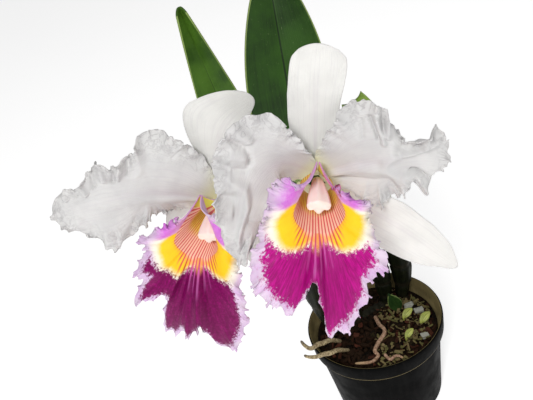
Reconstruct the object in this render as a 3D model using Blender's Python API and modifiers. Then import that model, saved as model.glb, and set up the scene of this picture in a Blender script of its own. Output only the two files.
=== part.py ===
"""Cattleya orchid in bloom, built together with its nursery pot.

Metres, +Z up. The origin is the middle of the pot's underside and the front is towards -Y.
Sepals, petals, lips and leaves are blades: a spine from base to tip, a half width that swells
and narrows, a cup across it and waves that grow towards its edges. Each blade is a grid
mapped by that rule, cut into triangles and thickened by Solidify.
"""

import math
import random

import bmesh
import bpy
import numpy as np
from mathutils import Euler, Vector

CM = 0.01
GAP = 0.0003
PETAL_THICK = 0.0007
LEAF_THICK = 0.0018

RIM_RADIUS = 0.060
RIM_HEIGHT = 0.087
COLLAR_DEPTH = 0.016
WALL_TOP_RADIUS = 0.0555
BASE_RADIUS = 0.048
POT_WALL = 0.0014
POT_SIDES = 44
DRAIN_HOLES = 6
DRAIN_RADIUS = 0.004
DRAIN_CIRCLE = 0.030
SOIL_LEVEL = 0.074
CHIP_COUNT = 23

FRONT_BLOOM = (-0.0310, -0.1512, 0.3357)
FRONT_FACE = (-0.177, -0.984, -0.032)
FRONT_UP = (0.253, -0.078, 0.964)
SIDE_BLOOM = (-0.0834, -0.1188, 0.3195)
SIDE_FACE = (-0.42, -0.90, -0.18)
SIDE_UP = (0.11, -0.22, 0.97)
TUBE_ROUNDING = 1

WHITE = (0.78, 0.775, 0.77)
SEPAL_WHITE = (0.77, 0.775, 0.73)
LIP_MAGENTA = (0.52, 0.005, 0.30)
COLUMN_CREAM = (0.80, 0.70, 0.66)
LEAF_GREEN = (0.035, 0.085, 0.012)
LEFT_LEAF_GREEN = (0.045, 0.10, 0.014)
BULB_GREEN = (0.045, 0.055, 0.012)
STEM_GREEN = (0.10, 0.17, 0.03)
SHEATH_TAN = (0.33, 0.26, 0.13)
POT_BLACK = (0.006, 0.006, 0.006)
SOIL_BROWN = (0.022, 0.010, 0.006)
GRIT_GREY = (0.36, 0.37, 0.33)
ROOT_TAN = (0.36, 0.24, 0.17)
STUB_TAN = (0.42, 0.36, 0.25)
SEEDLING_GREEN = (0.35, 0.40, 0.10)


def clear_scene():
    """Remove whatever the scene holds."""
    for thing in list(bpy.data.objects):
        bpy.data.objects.remove(thing, do_unlink=True)


def new_collection(name, helper=False):
    """Make a collection in the scene; a helper one is left out of renders."""
    collection = bpy.data.collections.new(name)
    bpy.context.scene.collection.children.link(collection)
    collection.hide_render = helper
    return collection


clear_scene()
PLANT = new_collection("cattleya_orchid")
CUTTERS = new_collection("cutters", helper=True)


def material(name, colour, roughness, metallic=0.0):
    """Make a plain Principled material."""
    made = bpy.data.materials.new(name)
    made.use_nodes = True
    shader = made.node_tree.nodes["Principled BSDF"]
    shader.inputs["Base Color"].default_value = (*colour, 1.0)
    shader.inputs["Roughness"].default_value = roughness
    shader.inputs["Metallic"].default_value = metallic
    made.diffuse_color = (*colour, 1.0)
    return made


PETAL_MATERIAL = material("petal_white", WHITE, 0.55)
SEPAL_MATERIAL = material("sepal_white", SEPAL_WHITE, 0.50)
LIP_MATERIAL = material("lip_magenta", LIP_MAGENTA, 0.50)
COLUMN_MATERIAL = material("column_cream", COLUMN_CREAM, 0.45)


def new_object(name, mesh, collection=PLANT, paint=None):
    """Make an object of a mesh, with smooth faces and a material."""
    thing = bpy.data.objects.new(name, mesh)
    collection.objects.link(thing)
    if paint is not None:
        mesh.materials.append(paint)
    return thing


def mesh_of(name, shape):
    """Turn a bmesh into a mesh and free it."""
    bmesh.ops.recalc_face_normals(shape, faces=shape.faces)
    mesh = bpy.data.meshes.new(name)
    shape.to_mesh(mesh)
    shape.free()
    return mesh


def unit(vectors):
    """Scale vectors, along the last axis, to length one."""
    vectors = np.asarray(vectors, float)
    return vectors / np.linalg.norm(vectors, axis=-1, keepdims=True)


class Frame:
    """Axes of a bloom: right and up as a viewer before it sees them, and out of its face."""

    def __init__(self, origin, face, up):
        self.origin = np.array(origin, float)
        self.out = unit(face)
        self.right = unit(np.cross(self.out, up)) * -1.0
        self.up = np.cross(self.out, self.right)

    def place(self, right, up, out):
        """World places of points given in centimetres along the three axes."""
        offsets = [np.asarray(part, float)[..., None] * axis * CM
                   for part, axis in ((right, self.right), (up, self.up), (out, self.out))]
        return self.origin + sum(offsets)


WORLD = Frame((0.0, 0.0, 0.0), (0.0, -1.0, 0.0), (0.0, 0.0, 1.0))


def bezier(points, along):
    """Place and direction on a cubic curve."""
    first, second, third, last = (np.array(point, float) for point in points)
    t = np.asarray(along, float)[..., None]
    s = 1.0 - t
    place = s**3 * first + 3 * s * s * t * second + 3 * s * t * t * third + t**3 * last
    slope = 3 * (s * s * (second - first) + 2 * s * t * (third - second) + t * t * (last - third))
    return place, unit(slope)


def half_width(along, blade):
    """Half the width: base to full width at the peak, then down to the tip's share of it."""
    rise = np.clip(along / blade["peak"], 0.0, 1.0)
    fall = np.clip((along - blade["peak"]) / (1.0 - blade["peak"]), 0.0, 1.0)
    swell = np.sin(rise * math.pi / 2) ** blade.get("swell", 1.3)
    narrow = 1.0 - (1.0 - blade["tip"]) * fall ** blade.get("taper", 2.0)
    return (blade["base"] + (blade["width"] - blade["base"]) * swell) * narrow


def edge_width(along, across, blade):
    """Half the width on each side: by its own values from base to tip where it has them."""
    width = half_width(along, blade) if "width" in blade else np.zeros(along.shape)
    for side, here in (("low_edge", across < 0), ("high_edge", across >= 0)):
        if side in blade:
            stations = np.linspace(0.0, 1.0, len(blade[side]))
            width = np.where(here, np.interp(along, stations, blade[side]), width)
    return width


def blade_points(blade, along, across):
    """Centimetre places on a blade: spine, twist, cup across and waves at the edges.

    place = spine(a) + side * sin(c w x) / c + normal * ((1 - cos(c w x)) / c + wave)
    where a runs from base to tip, x from edge to edge, w is the half width, c the cup, and
    wave = height * |x|^3 * sin(2 pi (waves a + phase)) * rise from the base.
    """
    slid = along * (1.0 - blade["round"] * across**2 * along**3)
    centre, tangent = bezier(blade["spine"], slid)
    facing = np.array(blade.get("facing", (0.0, 0.0, 1.0)), float)
    normal = unit(facing - tangent * (tangent @ facing)[..., None])
    side = np.cross(tangent, normal)
    start, end = blade.get("twist", (0.0, 0.0))
    turn = np.radians(start + (end - start) * along)[..., None]
    normal, side = (normal * np.cos(turn) + side * np.sin(turn),
                    side * np.cos(turn) - normal * np.sin(turn))
    low, high = blade.get("cup", (0.0, 0.0))
    curl = np.where(across < 0, low, high) * (0.3 + 0.7 * along) + 1e-6
    reach = across * edge_width(along, across, blade)
    sideways = np.sin(curl * reach) / curl
    lift = (1.0 - np.cos(curl * reach)) / curl
    height, waves, phase = blade.get("wave", (0.0, 1.0, 0.0))
    shift = np.where(across < 0, 0.37, 0.0)
    strength = np.abs(across) ** 3 * np.sin(along * math.pi * 0.5)
    wave = height * strength * np.sin(2 * math.pi * (waves * along + phase + shift))
    keel = blade.get("keel", 0.0) * np.abs(across)
    return centre + side * sideways[..., None] + normal * (lift + wave + keel)[..., None]


def sheet(name, rule, steps, paint, thick):
    """Map a square grid by a rule, cut it into triangles and thicken it."""
    shape = bmesh.new()
    bmesh.ops.create_grid(shape, x_segments=steps[0], y_segments=steps[1], size=1.0)
    corners = np.array([vert.co[:2] for vert in shape.verts])
    places = rule((corners[:, 0] + 1.0) / 2.0, corners[:, 1])
    for vert, place in zip(shape.verts, places):
        vert.co = place
    bmesh.ops.triangulate(shape, faces=shape.faces)
    thing = new_object(name, mesh_of(name, shape), paint=paint)
    solid = thing.modifiers.new("Solidify", "SOLIDIFY")
    solid.thickness = thick
    solid.offset = 0.0
    return thing


def blade(name, frame, shape, steps, paint, thick=PETAL_THICK):
    """Make one blade in a frame."""

    def rule(along, across):
        return frame.place(*blade_points(shape, along, across).T)

    return sheet(name, rule, steps, paint, thick)


SEPAL_STEPS = (12, 6)
PETAL_STEPS = (18, 12)

FRONT_SEPALS = {
    "dorsal_sepal": dict(
        spine=[(0.0, 0.55, -0.1), (-0.15, 2.6, -0.3), (-0.2, 4.7, -0.5), (-0.1, 6.75, -0.9)],
        low_edge=[
            0.45, 0.78, 0.95, 1.03, 1.13, 1.21, 1.27, 1.33, 1.34, 1.35, 1.37, 1.35, 1.34, 1.31,
            1.27, 1.17, 0.9],
        high_edge=[
            0.45, 0.54, 0.67, 0.79, 0.92, 1.03, 1.11, 1.2, 1.18, 1.21, 1.27, 1.33, 1.38, 1.41,
            1.42, 1.34, 1.0],
        round=0.05,
        cup=(-0.15, -0.15), wave=(0.05, 1.5, 0.1)),
    "right_sepal": dict(
        spine=[(0.55, -0.35, -0.1), (2.6, -1.7, 0.2), (5.1, -2.9, 0.6), (7.7, -5.0, 1.1)],
        low_edge=[
            0.45, 0.5, 0.55, 0.65, 0.82, 1.0, 1.1, 1.18, 1.21, 1.21, 1.17, 1.11, 1.06, 0.95,
            0.86, 0.75, 0.5],
        high_edge=[
            0.45, 0.7, 1.02, 1.23, 1.45, 1.65, 1.76, 1.85, 1.8, 1.73, 1.69, 1.63, 1.56, 1.45,
            1.31, 1.1, 0.7],
        round=0.08,
        cup=(-0.10, -0.10), wave=(0.04, 1.2, 0.3)),
    "left_sepal": dict(
        spine=[(-0.45, -0.5, -0.1), (-1.2, -2.6, -0.3), (-2.0, -5.0, -0.5), (-2.1, -7.4, -0.4)],
        width=1.25, base=0.45, peak=0.50, tip=0.18, round=0.06, taper=1.9,
        cup=(-0.10, -0.10), wave=(0.04, 1.2, 0.3)),
}

FRONT_PETALS = {
    "right_petal": dict(
        spine=[(0.80, 0.25, 0.2), (2.2, 1.5, 0.8), (4.3, 2.0, 1.1), (6.3, 1.7, 0.9)],
        low_edge=[
            0.45, 1.27, 1.69, 2.13, 2.58, 2.94, 3.12, 3.14, 3.08, 2.6, 1.1, 0.85, 0.97, 1.23,
            1.3, 1.4, 1.2],
        high_edge=[
            0.45, 1.02, 1.42, 1.92, 2.29, 2.51, 2.63, 2.59, 2.48, 2.29, 2.04, 1.76, 1.56, 1.65,
            1.77, 1.7, 1.3],
        round=0.10,
        cup=(-0.10, 0.05), wave=(0.42, 3.4, 0.15)),
    "left_petal": dict(
        spine=[(-0.80, 0.25, 0.2), (-1.9, 2.3, 0.8), (-3.5, 1.7, 1.5), (-3.9, -4.0, 2.2)],
        low_edge=[
            0.45, 0.85, 1.2, 1.5, 1.75, 1.9, 1.95, 1.9, 1.82, 1.75, 1.63, 1.47, 1.33, 1.2,
            1.06, 1.03, 0.9],
        high_edge=[
            0.45, 0.6, 0.8, 1.05, 1.4, 1.98, 2.72, 3.1, 3.11, 2.8, 2.45, 2.08, 1.8, 1.59, 1.4,
            1.24, 1.0],
        round=0.10,
        cup=(-0.06, 0.12), wave=(0.40, 3.2, 0.55)),
}

SIDE_SEPALS = {
    "dorsal_sepal": dict(
        spine=[(0.0, 0.55, -0.1), (-0.2, 2.8, -0.5), (0.4, 5.4, -0.8), (2.1, 5.2, -2.6)],
        low_edge=[
            0.45, 0.47, 0.5, 0.55, 0.65, 0.8, 1.1, 1.44, 1.76, 2.06, 2.27, 2.25, 1.97, 1.72,
            1.45, 1.18, 0.8],
        high_edge=[
            0.45, 0.5, 0.6, 0.72, 0.88, 1.07, 1.26, 1.33, 1.35, 1.38, 1.37, 1.34, 1.24, 1.13,
            0.97, 0.76, 0.43],
        round=0.10,
        cup=(-0.15, -0.15), wave=(0.05, 1.5, 0.1)),
    "right_sepal": dict(
        spine=[(0.45, -0.5, -0.1), (1.2, -2.6, -0.3), (1.8, -5.0, -0.5), (1.9, -7.2, -0.4)],
        width=1.25, base=0.45, peak=0.50, tip=0.18, round=0.06, taper=1.9,
        cup=(-0.10, -0.10), wave=(0.04, 1.2, 0.3)),
    "left_sepal": dict(
        spine=[(-0.55, -0.35, -0.1), (-2.2, -1.6, -0.3), (-3.4, -2.9, -0.6), (-3.4, -4.9, -0.8)],
        width=1.25, base=0.45, peak=0.50, tip=0.18, round=0.06, taper=1.9,
        cup=(-0.10, -0.10), wave=(0.04, 1.2, 0.3)),
}

SIDE_PETALS = {
    "right_petal": dict(
        spine=[(0.80, 0.25, 0.2), (1.9, 0.9, 1.0), (3.0, 1.6, 0.9), (4.0, 2.6, 0.3)],
        width=1.9, base=0.45, peak=0.50, tip=0.62, round=0.16,
        cup=(-0.10, -0.10), wave=(0.12, 2.4, 0.15)),
    "left_petal": dict(
        spine=[(-0.80, 0.25, 0.2), (-2.6, 1.7, 0.8), (-5.4, 2.2, 1.6), (-9.0, 0.9, 2.6)],
        low_edge=[
            0.45, 0.6, 0.8, 0.98, 1.16, 1.33, 1.49, 1.7, 2.07, 2.6, 3.0, 3.25, 3.35, 3.3, 3.1,
            2.6, 1.8],
        high_edge=[
            0.45, 1.6, 2.3, 2.9, 3.33, 3.6, 3.59, 3.4, 2.44, 2.06, 1.72, 2.05, 1.58, 1.18, 1.0,
            1.0, 0.9],
        twist=(10.0, 20.0), round=0.10,
        cup=(-0.06, -0.06), wave=(0.38, 3.3, 0.4)),
}

LIP_STEPS = (16, 26)


def lip_rule(frame, lip):
    """Rule of a lip: a tube about the column that flares into a waved skirt, notched below.

    place = middle + radius * (sin f, -cos f) and depth along the tube, where f is the angle
    from straight down. The tube takes the first share of the way; past it the radius grows to
    the margin's, which is given at even steps of the angle, and the depth to the skirt's.
    """

    def rule(along, across):
        throat = lip["throat"]
        tube = np.clip(along / throat, 0.0, 1.0)
        skirt = np.clip((along - throat) / (1.0 - throat), 0.0, 1.0)
        spread = lip["shut"] + (lip["open"] - lip["shut"]) * np.sin(tube * math.pi / 2)
        angle = across * np.radians(spread + (lip["lobe"] - lip["open"]) * skirt)
        below = np.clip(np.cos(angle), 0.0, 1.0) ** lip["fullness"]
        stations = np.linspace(-lip["lobe"], lip["lobe"], len(lip["margin"]))
        margin = np.interp(np.degrees(angle), stations, lip["margin"])
        inner = lip["start"] + (lip["mouth"] - lip["start"]) * tube**1.5
        radius = inner + (margin - lip["mouth"]) * skirt**1.15
        wave = np.sin(lip["waves"] * angle + lip["phase"]) * skirt**2
        radius = radius + lip["scallop"] * wave
        depth = lip["near"] + (lip["deep"] - lip["near"]) * tube
        forward = lip["side_out"] + (lip["low_out"] - lip["side_out"]) * below
        depth = depth + forward * np.sin(skirt * math.pi / 2) - lip["roll"] * skirt**3
        depth = depth + lip["frill"] * wave
        right = lip["lean"] * tube + radius * np.sin(angle)
        up = lip["rise"] - lip["droop"] * tube - radius * np.cos(angle)
        return frame.place(right, up, depth)

    return rule


FRONT_LIP = dict(
    throat=0.42, shut=168.0, open=142.0, lobe=142.0, fullness=2.0, start=0.88, mouth=1.25,
    margin=[
        1.35, 1.7, 2.1, 2.4, 2.6, 2.78, 2.76, 2.68, 2.53, 2.43, 2.43, 2.46, 2.48, 2.51, 2.58,
        2.68, 2.81, 2.98, 3.18, 3.33, 3.48, 3.69, 4.04, 4.19, 4.39, 4.59, 4.76, 4.94, 5.09,
        5.19, 5.37, 5.49, 5.52, 3.9, 3.08, 3.01, 4.0, 5.92, 5.97, 5.94, 5.79, 5.64, 5.39, 5.09,
        4.39, 4.41, 4.36, 4.24, 4.19, 4.09, 3.79, 3.13, 2.96, 2.88, 2.68, 2.53, 2.46, 2.48,
        2.46, 2.43, 2.41, 2.36, 2.31, 2.23, 2.18, 2.13, 2.05, 1.95, 1.85, 1.75, 1.55, 1.35],
    near=0.65, deep=3.0, side_out=0.5, low_out=2.2, roll=0.3,
    waves=7.0, phase=0.6, scallop=0.12, frill=0.30, lean=0.0, rise=0.1, droop=0.15)

SIDE_LIP = dict(
    throat=0.42, shut=168.0, open=142.0, lobe=142.0, fullness=2.0, start=0.88, mouth=1.25,
    margin=[
        1.35, 1.6, 1.85, 2.0, 2.08, 2.15, 2.25, 2.38, 2.51, 2.68, 2.81, 2.93, 3.08, 3.23, 3.36,
        3.38, 3.23, 3.06, 3.53, 4.01, 4.34, 4.09, 3.84, 4.6, 5.2, 4.9, 4.56, 4.11, 4.3, 5.5,
        6.5, 6.7, 5.6, 5.59, 5.2, 4.3, 4.0, 5.2, 6.9, 6.9, 6.65, 6.27, 5.77, 5.19, 4.74, 4.36,
        3.96, 3.48, 3.21, 3.01, 2.83, 2.68, 2.56, 2.48, 2.38, 2.28, 2.2, 2.18, 2.15, 2.13,
        2.15, 2.15, 2.18, 2.2, 2.2, 2.2, 2.15, 2.05, 1.95, 1.8, 1.6, 1.35],
    near=0.65, deep=3.0, side_out=0.5, low_out=2.6, roll=0.3,
    waves=7.0, phase=1.6, scallop=0.12, frill=0.30, lean=-0.6, rise=0.1, droop=0.15)


def tube_curve(name, places, radii):
    """A round tube through places, with a radius at each, as a curve object with filled caps."""
    curve = bpy.data.curves.new(name, "CURVE")
    curve.dimensions = "3D"
    curve.bevel_depth = 1.0
    curve.bevel_resolution = TUBE_ROUNDING
    curve.use_fill_caps = True
    spline = curve.splines.new("POLY")
    spline.points.add(len(places) - 1)
    for point, place, radius in zip(spline.points, places, radii):
        point.co = (*place, 1.0)
        point.radius = radius
    thing = bpy.data.objects.new(name, curve)
    PLANT.objects.link(thing)
    return thing


def smooth_path(places, radii, steps):
    """Places and radii on a smooth curve through the given ones."""
    knots = np.column_stack([np.array(places, float), np.array(radii, float)])
    padded = np.vstack([2 * knots[0] - knots[1], knots, 2 * knots[-1] - knots[-2]])
    found = []
    for index in range(len(knots) - 1):
        before, start, end, after = padded[index:index + 4]
        for step in range(steps):
            t = step / steps
            found.append(0.5 * (2 * start + (end - before) * t
                                + (2 * before - 5 * start + 4 * end - after) * t * t
                                + (3 * start - before - 3 * end + after) * t**3))
    found.append(knots[-1])
    found = np.array(found)
    return found[:, :3], found[:, 3]


def tube_mesh(name, places, radii, steps=3, reach=0.0, paint=None):
    """A smooth tube made a mesh, its caps welded to its sides, its ends pushed out by the reach."""
    route, widths = smooth_path(places, radii, steps)
    route[[0, -1]] += reach * unit(route[[0, -1]] - route[[1, -2]])
    curve = tube_curve(name + "_curve", route, widths)
    bpy.context.view_layer.update()
    graph = bpy.context.evaluated_depsgraph_get()
    raw = bpy.data.meshes.new_from_object(curve.evaluated_get(graph))
    shape = bmesh.new()
    shape.from_mesh(raw)
    bmesh.ops.remove_doubles(shape, verts=shape.verts, dist=1e-6)
    bpy.data.objects.remove(curve, do_unlink=True)
    return new_object(name, mesh_of(name, shape), paint=paint)


def apply_modifiers(thing):
    """Make what the modifiers give the object's own mesh."""
    bpy.context.view_layer.update()
    graph = bpy.context.evaluated_depsgraph_get()
    made = bpy.data.meshes.new_from_object(thing.evaluated_get(graph))
    thing.modifiers.clear()
    thing.data = made


def boolean(thing, other, operation, solver="EXACT"):
    """Cut or join one object by another, and remove the other."""
    cut = thing.modifiers.new("Boolean", "BOOLEAN")
    cut.operation = operation
    cut.solver = solver
    cut.object = other
    apply_modifiers(thing)
    bpy.data.objects.remove(other, do_unlink=True)


def column(name, frame, droop):
    """The column in the lip's tube: a rod, narrow at its foot and broad at its cap."""
    rises = [(0.0, 0.10, 0.75), (0.0, 0.22, 1.4), (0.0, 0.16 - droop, 2.1), (0.0, -droop, 2.7)]
    places = [frame.place(*place) for place in rises]
    radii = [0.0030, 0.0034, 0.0044, 0.0036]
    tube_mesh(name, places, radii, paint=COLUMN_MATERIAL)


def bloom(prefix, frame, sepals, petals, lip, droop):
    """One bloom: three sepals behind, two petals before them, the lip and the column."""
    for name, shape in sepals.items():
        blade(f"{prefix}_{name}", frame, shape, SEPAL_STEPS, SEPAL_MATERIAL)
    for name, shape in petals.items():
        blade(f"{prefix}_{name}", frame, shape, PETAL_STEPS, PETAL_MATERIAL)
    sheet(f"{prefix}_lip", lip_rule(frame, lip), LIP_STEPS, LIP_MATERIAL, PETAL_THICK)
    column(f"{prefix}_column", frame, droop)


FRONT = Frame(FRONT_BLOOM, FRONT_FACE, FRONT_UP)
SIDE = Frame(SIDE_BLOOM, SIDE_FACE, SIDE_UP)


def pot():
    """Thin nursery pot: tapered wall, collar at the rim, floor with holes round its middle."""
    outline = [
        (0.0, 0.0),
        (BASE_RADIUS - 0.001, 0.0),
        (BASE_RADIUS, 0.001),
        (WALL_TOP_RADIUS, RIM_HEIGHT - COLLAR_DEPTH),
        (RIM_RADIUS - 0.0012, RIM_HEIGHT - COLLAR_DEPTH + 0.0015),
        (RIM_RADIUS, RIM_HEIGHT - 0.003),
        (RIM_RADIUS, RIM_HEIGHT - 0.001),
        (RIM_RADIUS - 0.0006, RIM_HEIGHT),
        (RIM_RADIUS - 0.0016, RIM_HEIGHT),
        (RIM_RADIUS - 0.0022, RIM_HEIGHT - 0.001),
        (RIM_RADIUS - 0.0040, RIM_HEIGHT - COLLAR_DEPTH + 0.0030),
        (WALL_TOP_RADIUS - POT_WALL, RIM_HEIGHT - COLLAR_DEPTH + 0.0012),
        (BASE_RADIUS - POT_WALL, POT_WALL + 0.001),
        (BASE_RADIUS - POT_WALL - 0.001, POT_WALL),
        (0.0, POT_WALL),
    ]
    shape = bmesh.new()
    verts = [shape.verts.new((radius, 0.0, height)) for radius, height in outline]
    for start, end in zip(verts, verts[1:]):
        shape.edges.new((start, end))
    mesh = bpy.data.meshes.new("pot")
    shape.to_mesh(mesh)
    shape.free()
    thing = new_object("pot", mesh, paint=material("pot_black", POT_BLACK, 0.38))
    screw = thing.modifiers.new("Screw", "SCREW")
    screw.steps = POT_SIDES
    screw.render_steps = POT_SIDES
    screw.use_merge_vertices = True
    screw.merge_threshold = 0.00005
    screw.use_normal_calculate = True
    holes = drain_cutter()
    cut = thing.modifiers.new("Drain holes", "BOOLEAN")
    cut.operation = "DIFFERENCE"
    cut.object = holes
    return thing


def drain_cutter():
    """Round cutters for the drainage holes, one mesh."""
    shape = bmesh.new()
    for index in range(DRAIN_HOLES):
        turn = 2 * math.pi * index / DRAIN_HOLES
        made = bmesh.ops.create_cone(shape, cap_ends=True, segments=16, radius1=DRAIN_RADIUS,
                                     radius2=DRAIN_RADIUS, depth=POT_WALL * 4)
        place = (DRAIN_CIRCLE * math.cos(turn), DRAIN_CIRCLE * math.sin(turn), 0.0)
        bmesh.ops.translate(shape, verts=made["verts"], vec=place)
    thing = new_object("drain_cutter", mesh_of("drain_cutter", shape), collection=CUTTERS)
    thing.display_type = "WIRE"
    thing.hide_render = True
    return thing


MIX_SIDES = 36
CHIP_REACH = 0.041
GOLDEN_TURN = 2.39996
ROOM_REACH = 0.0006

RHIZOME = [(-3.9, 1.0, 7.3), (-2.6, 1.2, 7.35), (-0.6, 1.9, 7.4), (1.6, 2.4, 7.35), (4.1, 2.6, 7.3)]
RHIZOME_RADII = [0.0035, 0.0045, 0.0045, 0.0050, 0.0035]
BULBS = {
    "flowering_pseudobulb": ([(-3.2, 1.05, 7.35), (-3.9, 0.6, 10.0), (-4.3, -0.5, 14.5),
                              (-3.9, -1.7, 19.5), (-2.9, -2.95, 24.0)],
                             [0.0040, 0.0070, 0.0100, 0.0090, 0.0050]),
    "left_pseudobulb": ([(-0.9, 1.85, 7.4), (-1.9, 2.0, 10.0), (-4.0, 1.5, 15.0),
                         (-5.6, 0.2, 20.0), (-6.3, -1.2, 24.0)],
                        [0.0040, 0.0060, 0.0085, 0.0080, 0.0040]),
    "back_pseudobulb": ([(3.3, 2.6, 7.32), (3.9, 3.2, 9.6), (4.0, 3.3, 12.5),
                         (3.7, 2.6, 16.5), (3.5, 2.1, 19.0)],
                        [0.0042, 0.0085, 0.0110, 0.0080, 0.0040]),
    "old_pseudobulb": ([(1.8, 2.45, 7.35), (2.0, 3.1, 9.2), (2.1, 3.5, 11.5), (2.2, 3.6, 13.2)],
                       [0.0040, 0.0075, 0.0080, 0.0030]),
}

LEAVES = {
    "centre_leaf": dict(
        spine=[(-2.9, 24.3, 2.62), (-2.6, 28.5, 2.5), (-1.9, 35.0, 1.4), (-1.1, 40.8, -0.5)],
        width=2.9, base=0.55, peak=0.50, tip=0.30, round=0.05, taper=2.0,
        cup=(0.05, 0.05), keel=0.35, wave=(0.05, 1.5, 0.2)),
    "left_leaf": dict(
        spine=[(-6.4, 24.3, 1.25), (-6.25, 28.0, 1.6), (-6.9, 34.0, 0.8), (-7.4, 39.6, -0.9)],
        width=2.1, base=0.45, peak=0.34, tip=0.16, round=0.03, taper=1.15,
        cup=(0.10, 0.10), keel=0.30, wave=(0.04, 1.5, 0.5)),
    "back_leaf": dict(
        spine=[(3.5, 19.3, -2.0), (3.7, 22.5, -2.2), (3.3, 26.2, -1.4), (2.3, 29.7, 0.3)],
        width=1.6, base=0.45, peak=0.55, tip=0.50, round=-0.06, taper=2.2,
        cup=(0.08, 0.08), keel=0.25, wave=(0.08, 1.5, 0.2)),
    "young_leaf": dict(
        spine=[(2.5, 7.4, -1.2), (2.45, 8.2, -1.1), (2.2, 9.0, -1.0), (1.9, 9.9, -1.0)],
        width=0.62, base=0.20, peak=0.50, tip=0.15, round=0.05, taper=1.8,
        cup=(0.8, 0.8), keel=0.1, wave=(0.0, 1.0, 0.0)),
}
LEAF_STEPS = (14, 6)

FORK = (-5.4, -9.2, 30.6)
STEM_PARTS = [
    ([(-2.85, -3.25, 24.1), (-3.0, -4.5, 26.8), (-4.0, -6.9, 29.3), FORK],
     [0.0026, 0.0028, 0.0028, 0.0028]),
    ([FORK, (-4.7, -11.2, 32.0), (-3.5, -13.0, 33.3), (-2.97, -14.62, 33.6)],
     [0.0026, 0.0024, 0.0026, 0.0036]),
    ([FORK, (-6.4, -9.6, 31.2), (-7.4, -10.4, 31.7), (-8.03, -11.26, 32.03)],
     [0.0026, 0.0024, 0.0026, 0.0036]),
]

SHEATH = dict(
    spine=[(-2.85, 24.15, 3.85), (-2.9, 25.4, 4.5), (-3.1, 26.6, 5.5), (-3.5, 27.6, 6.7)],
    width=0.75, base=0.62, peak=0.4, tip=0.3, round=0.1, taper=1.6,
    cup=(2.2, 2.2), facing=(0.0, 0.4, -1.0))

ROOTS = {
    "long_root": ([(0.3, 1.2, 7.6), (0.3, -0.2, 7.95), (0.45, -1.4, 8.0), (-0.5, -2.4, 7.95),
                   (-1.0, -3.1, 7.9), (-0.9, -3.7, 7.9), (-1.6, -4.1, 7.85), (-3.0, -3.6, 7.75)],
                  [0.0016, 0.0017, 0.0017, 0.0018, 0.0016, 0.0015, 0.0014, 0.0010]),
    "short_root": ([(-0.35, -3.7, 7.85), (-0.1, -4.5, 7.9), (0.5, -4.35, 7.9), (1.0, -4.65, 7.75)],
                   [0.0012, 0.0014, 0.0012, 0.0009]),
    "upper_rim_root": ([(-3.4, -0.6, 7.7), (-4.2, -1.4, 9.0), (-5.3, -1.8, 9.4), (-6.3, -1.8, 9.3),
                        (-6.8, -0.9, 9.6)],
                       [0.0017, 0.0020, 0.0021, 0.0018, 0.0012]),
    "lower_rim_root": ([(-3.0, -1.9, 7.7), (-3.9, -2.8, 9.0), (-5.0, -3.1, 9.35), (-6.3, -2.8, 9.2),
                        (-6.9, -2.4, 9.3)],
                       [0.0015, 0.0019, 0.0020, 0.0016, 0.0011]),
}

SEEDLINGS = [((2.5, -0.3), 0.75, 20.0), ((3.7, -1.5), 0.80, 25.0), ((1.9, -2.7), 0.65, 25.0)]
SEEDLING_HOLE = 0.0028
YOUNG_LEAF_HOLE = (0.025, 0.012, 0.0045)
HOLE_DEPTH = 0.004
GRIT = [((3.5, 1.0), 0.0034), ((4.1, 0.1), 0.0029), ((3.5, -3.0), 0.0026)]


def room(places, radii):
    """The room that a tube needs in what it stands in: wider than it by the gap, and longer."""
    return tube_mesh("room", np.array(places) * CM, np.array(radii) + 1.6 * GAP, reach=ROOM_REACH)


def bulb(name, places, radii):
    """A pseudobulb: a club that stands on the rhizome, cut to sit over it."""
    thing = tube_mesh(name, np.array(places) * CM, radii,
                      paint=material(name + "_green", BULB_GREEN, 0.55))
    boolean(thing, room(RHIZOME, RHIZOME_RADII), "DIFFERENCE")
    keep_largest(thing)


def leaf(name, shape):
    """A leathery leaf, folded along its middle."""
    colour = LEFT_LEAF_GREEN if name == "left_leaf" else LEAF_GREEN
    steps = LEAF_STEPS if name != "young_leaf" else (6, 4)
    thick = LEAF_THICK if name != "young_leaf" else 0.0009
    blade(name, WORLD, shape, steps, material(name + "_green", colour, 0.42), thick=thick)


def flower_stem():
    """The flower stem with the stalks of both blooms, one grown piece."""
    paint = material("stem_green", STEM_GREEN, 0.5)
    pieces = [tube_mesh(f"stem_piece_{index}", np.array(places) * CM, radii, steps=4, paint=paint)
              for index, (places, radii) in enumerate(STEM_PARTS)]
    stem = pieces[0]
    stem.name = "flower_stem"
    boolean(stem, pieces[1], "UNION")
    boolean(stem, pieces[2], "UNION")


def aerial_root(name, places, radii):
    """A root that lies over the mix or hangs over the rim."""
    paint = material(name + "_tan", STUB_TAN if "rim" in name else ROOT_TAN, 0.7)
    tube_mesh(name, np.array(places) * CM, radii, paint=paint)


def seedling(index, place, size, turn):
    """A seedling: one small leaf on its stalk, standing in its hole."""
    x, y = place
    cos, sin = math.cos(math.radians(turn)), math.sin(math.radians(turn))
    low = SOIL_LEVEL / CM - 0.25
    spine = [(x, low, -y), (x, low + 0.7, -y), (x + 0.3 * size * cos, low + 1.0, -y - 0.3 * size * sin),
             (x + 1.5 * size * cos, low + 1.05, -y - 1.5 * size * sin)]
    shape = dict(spine=spine, width=0.45 * size, base=0.05, peak=0.75, tip=0.4, round=0.05, swell=2.5,
                 cup=(0.5, 0.5), facing=(0.3, 1.0, 0.6))
    blade(f"seedling_{index}", WORLD, shape, (8, 4), material(f"seedling_{index}_green", SEEDLING_GREEN, 0.6),
          thick=0.0007)


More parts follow.
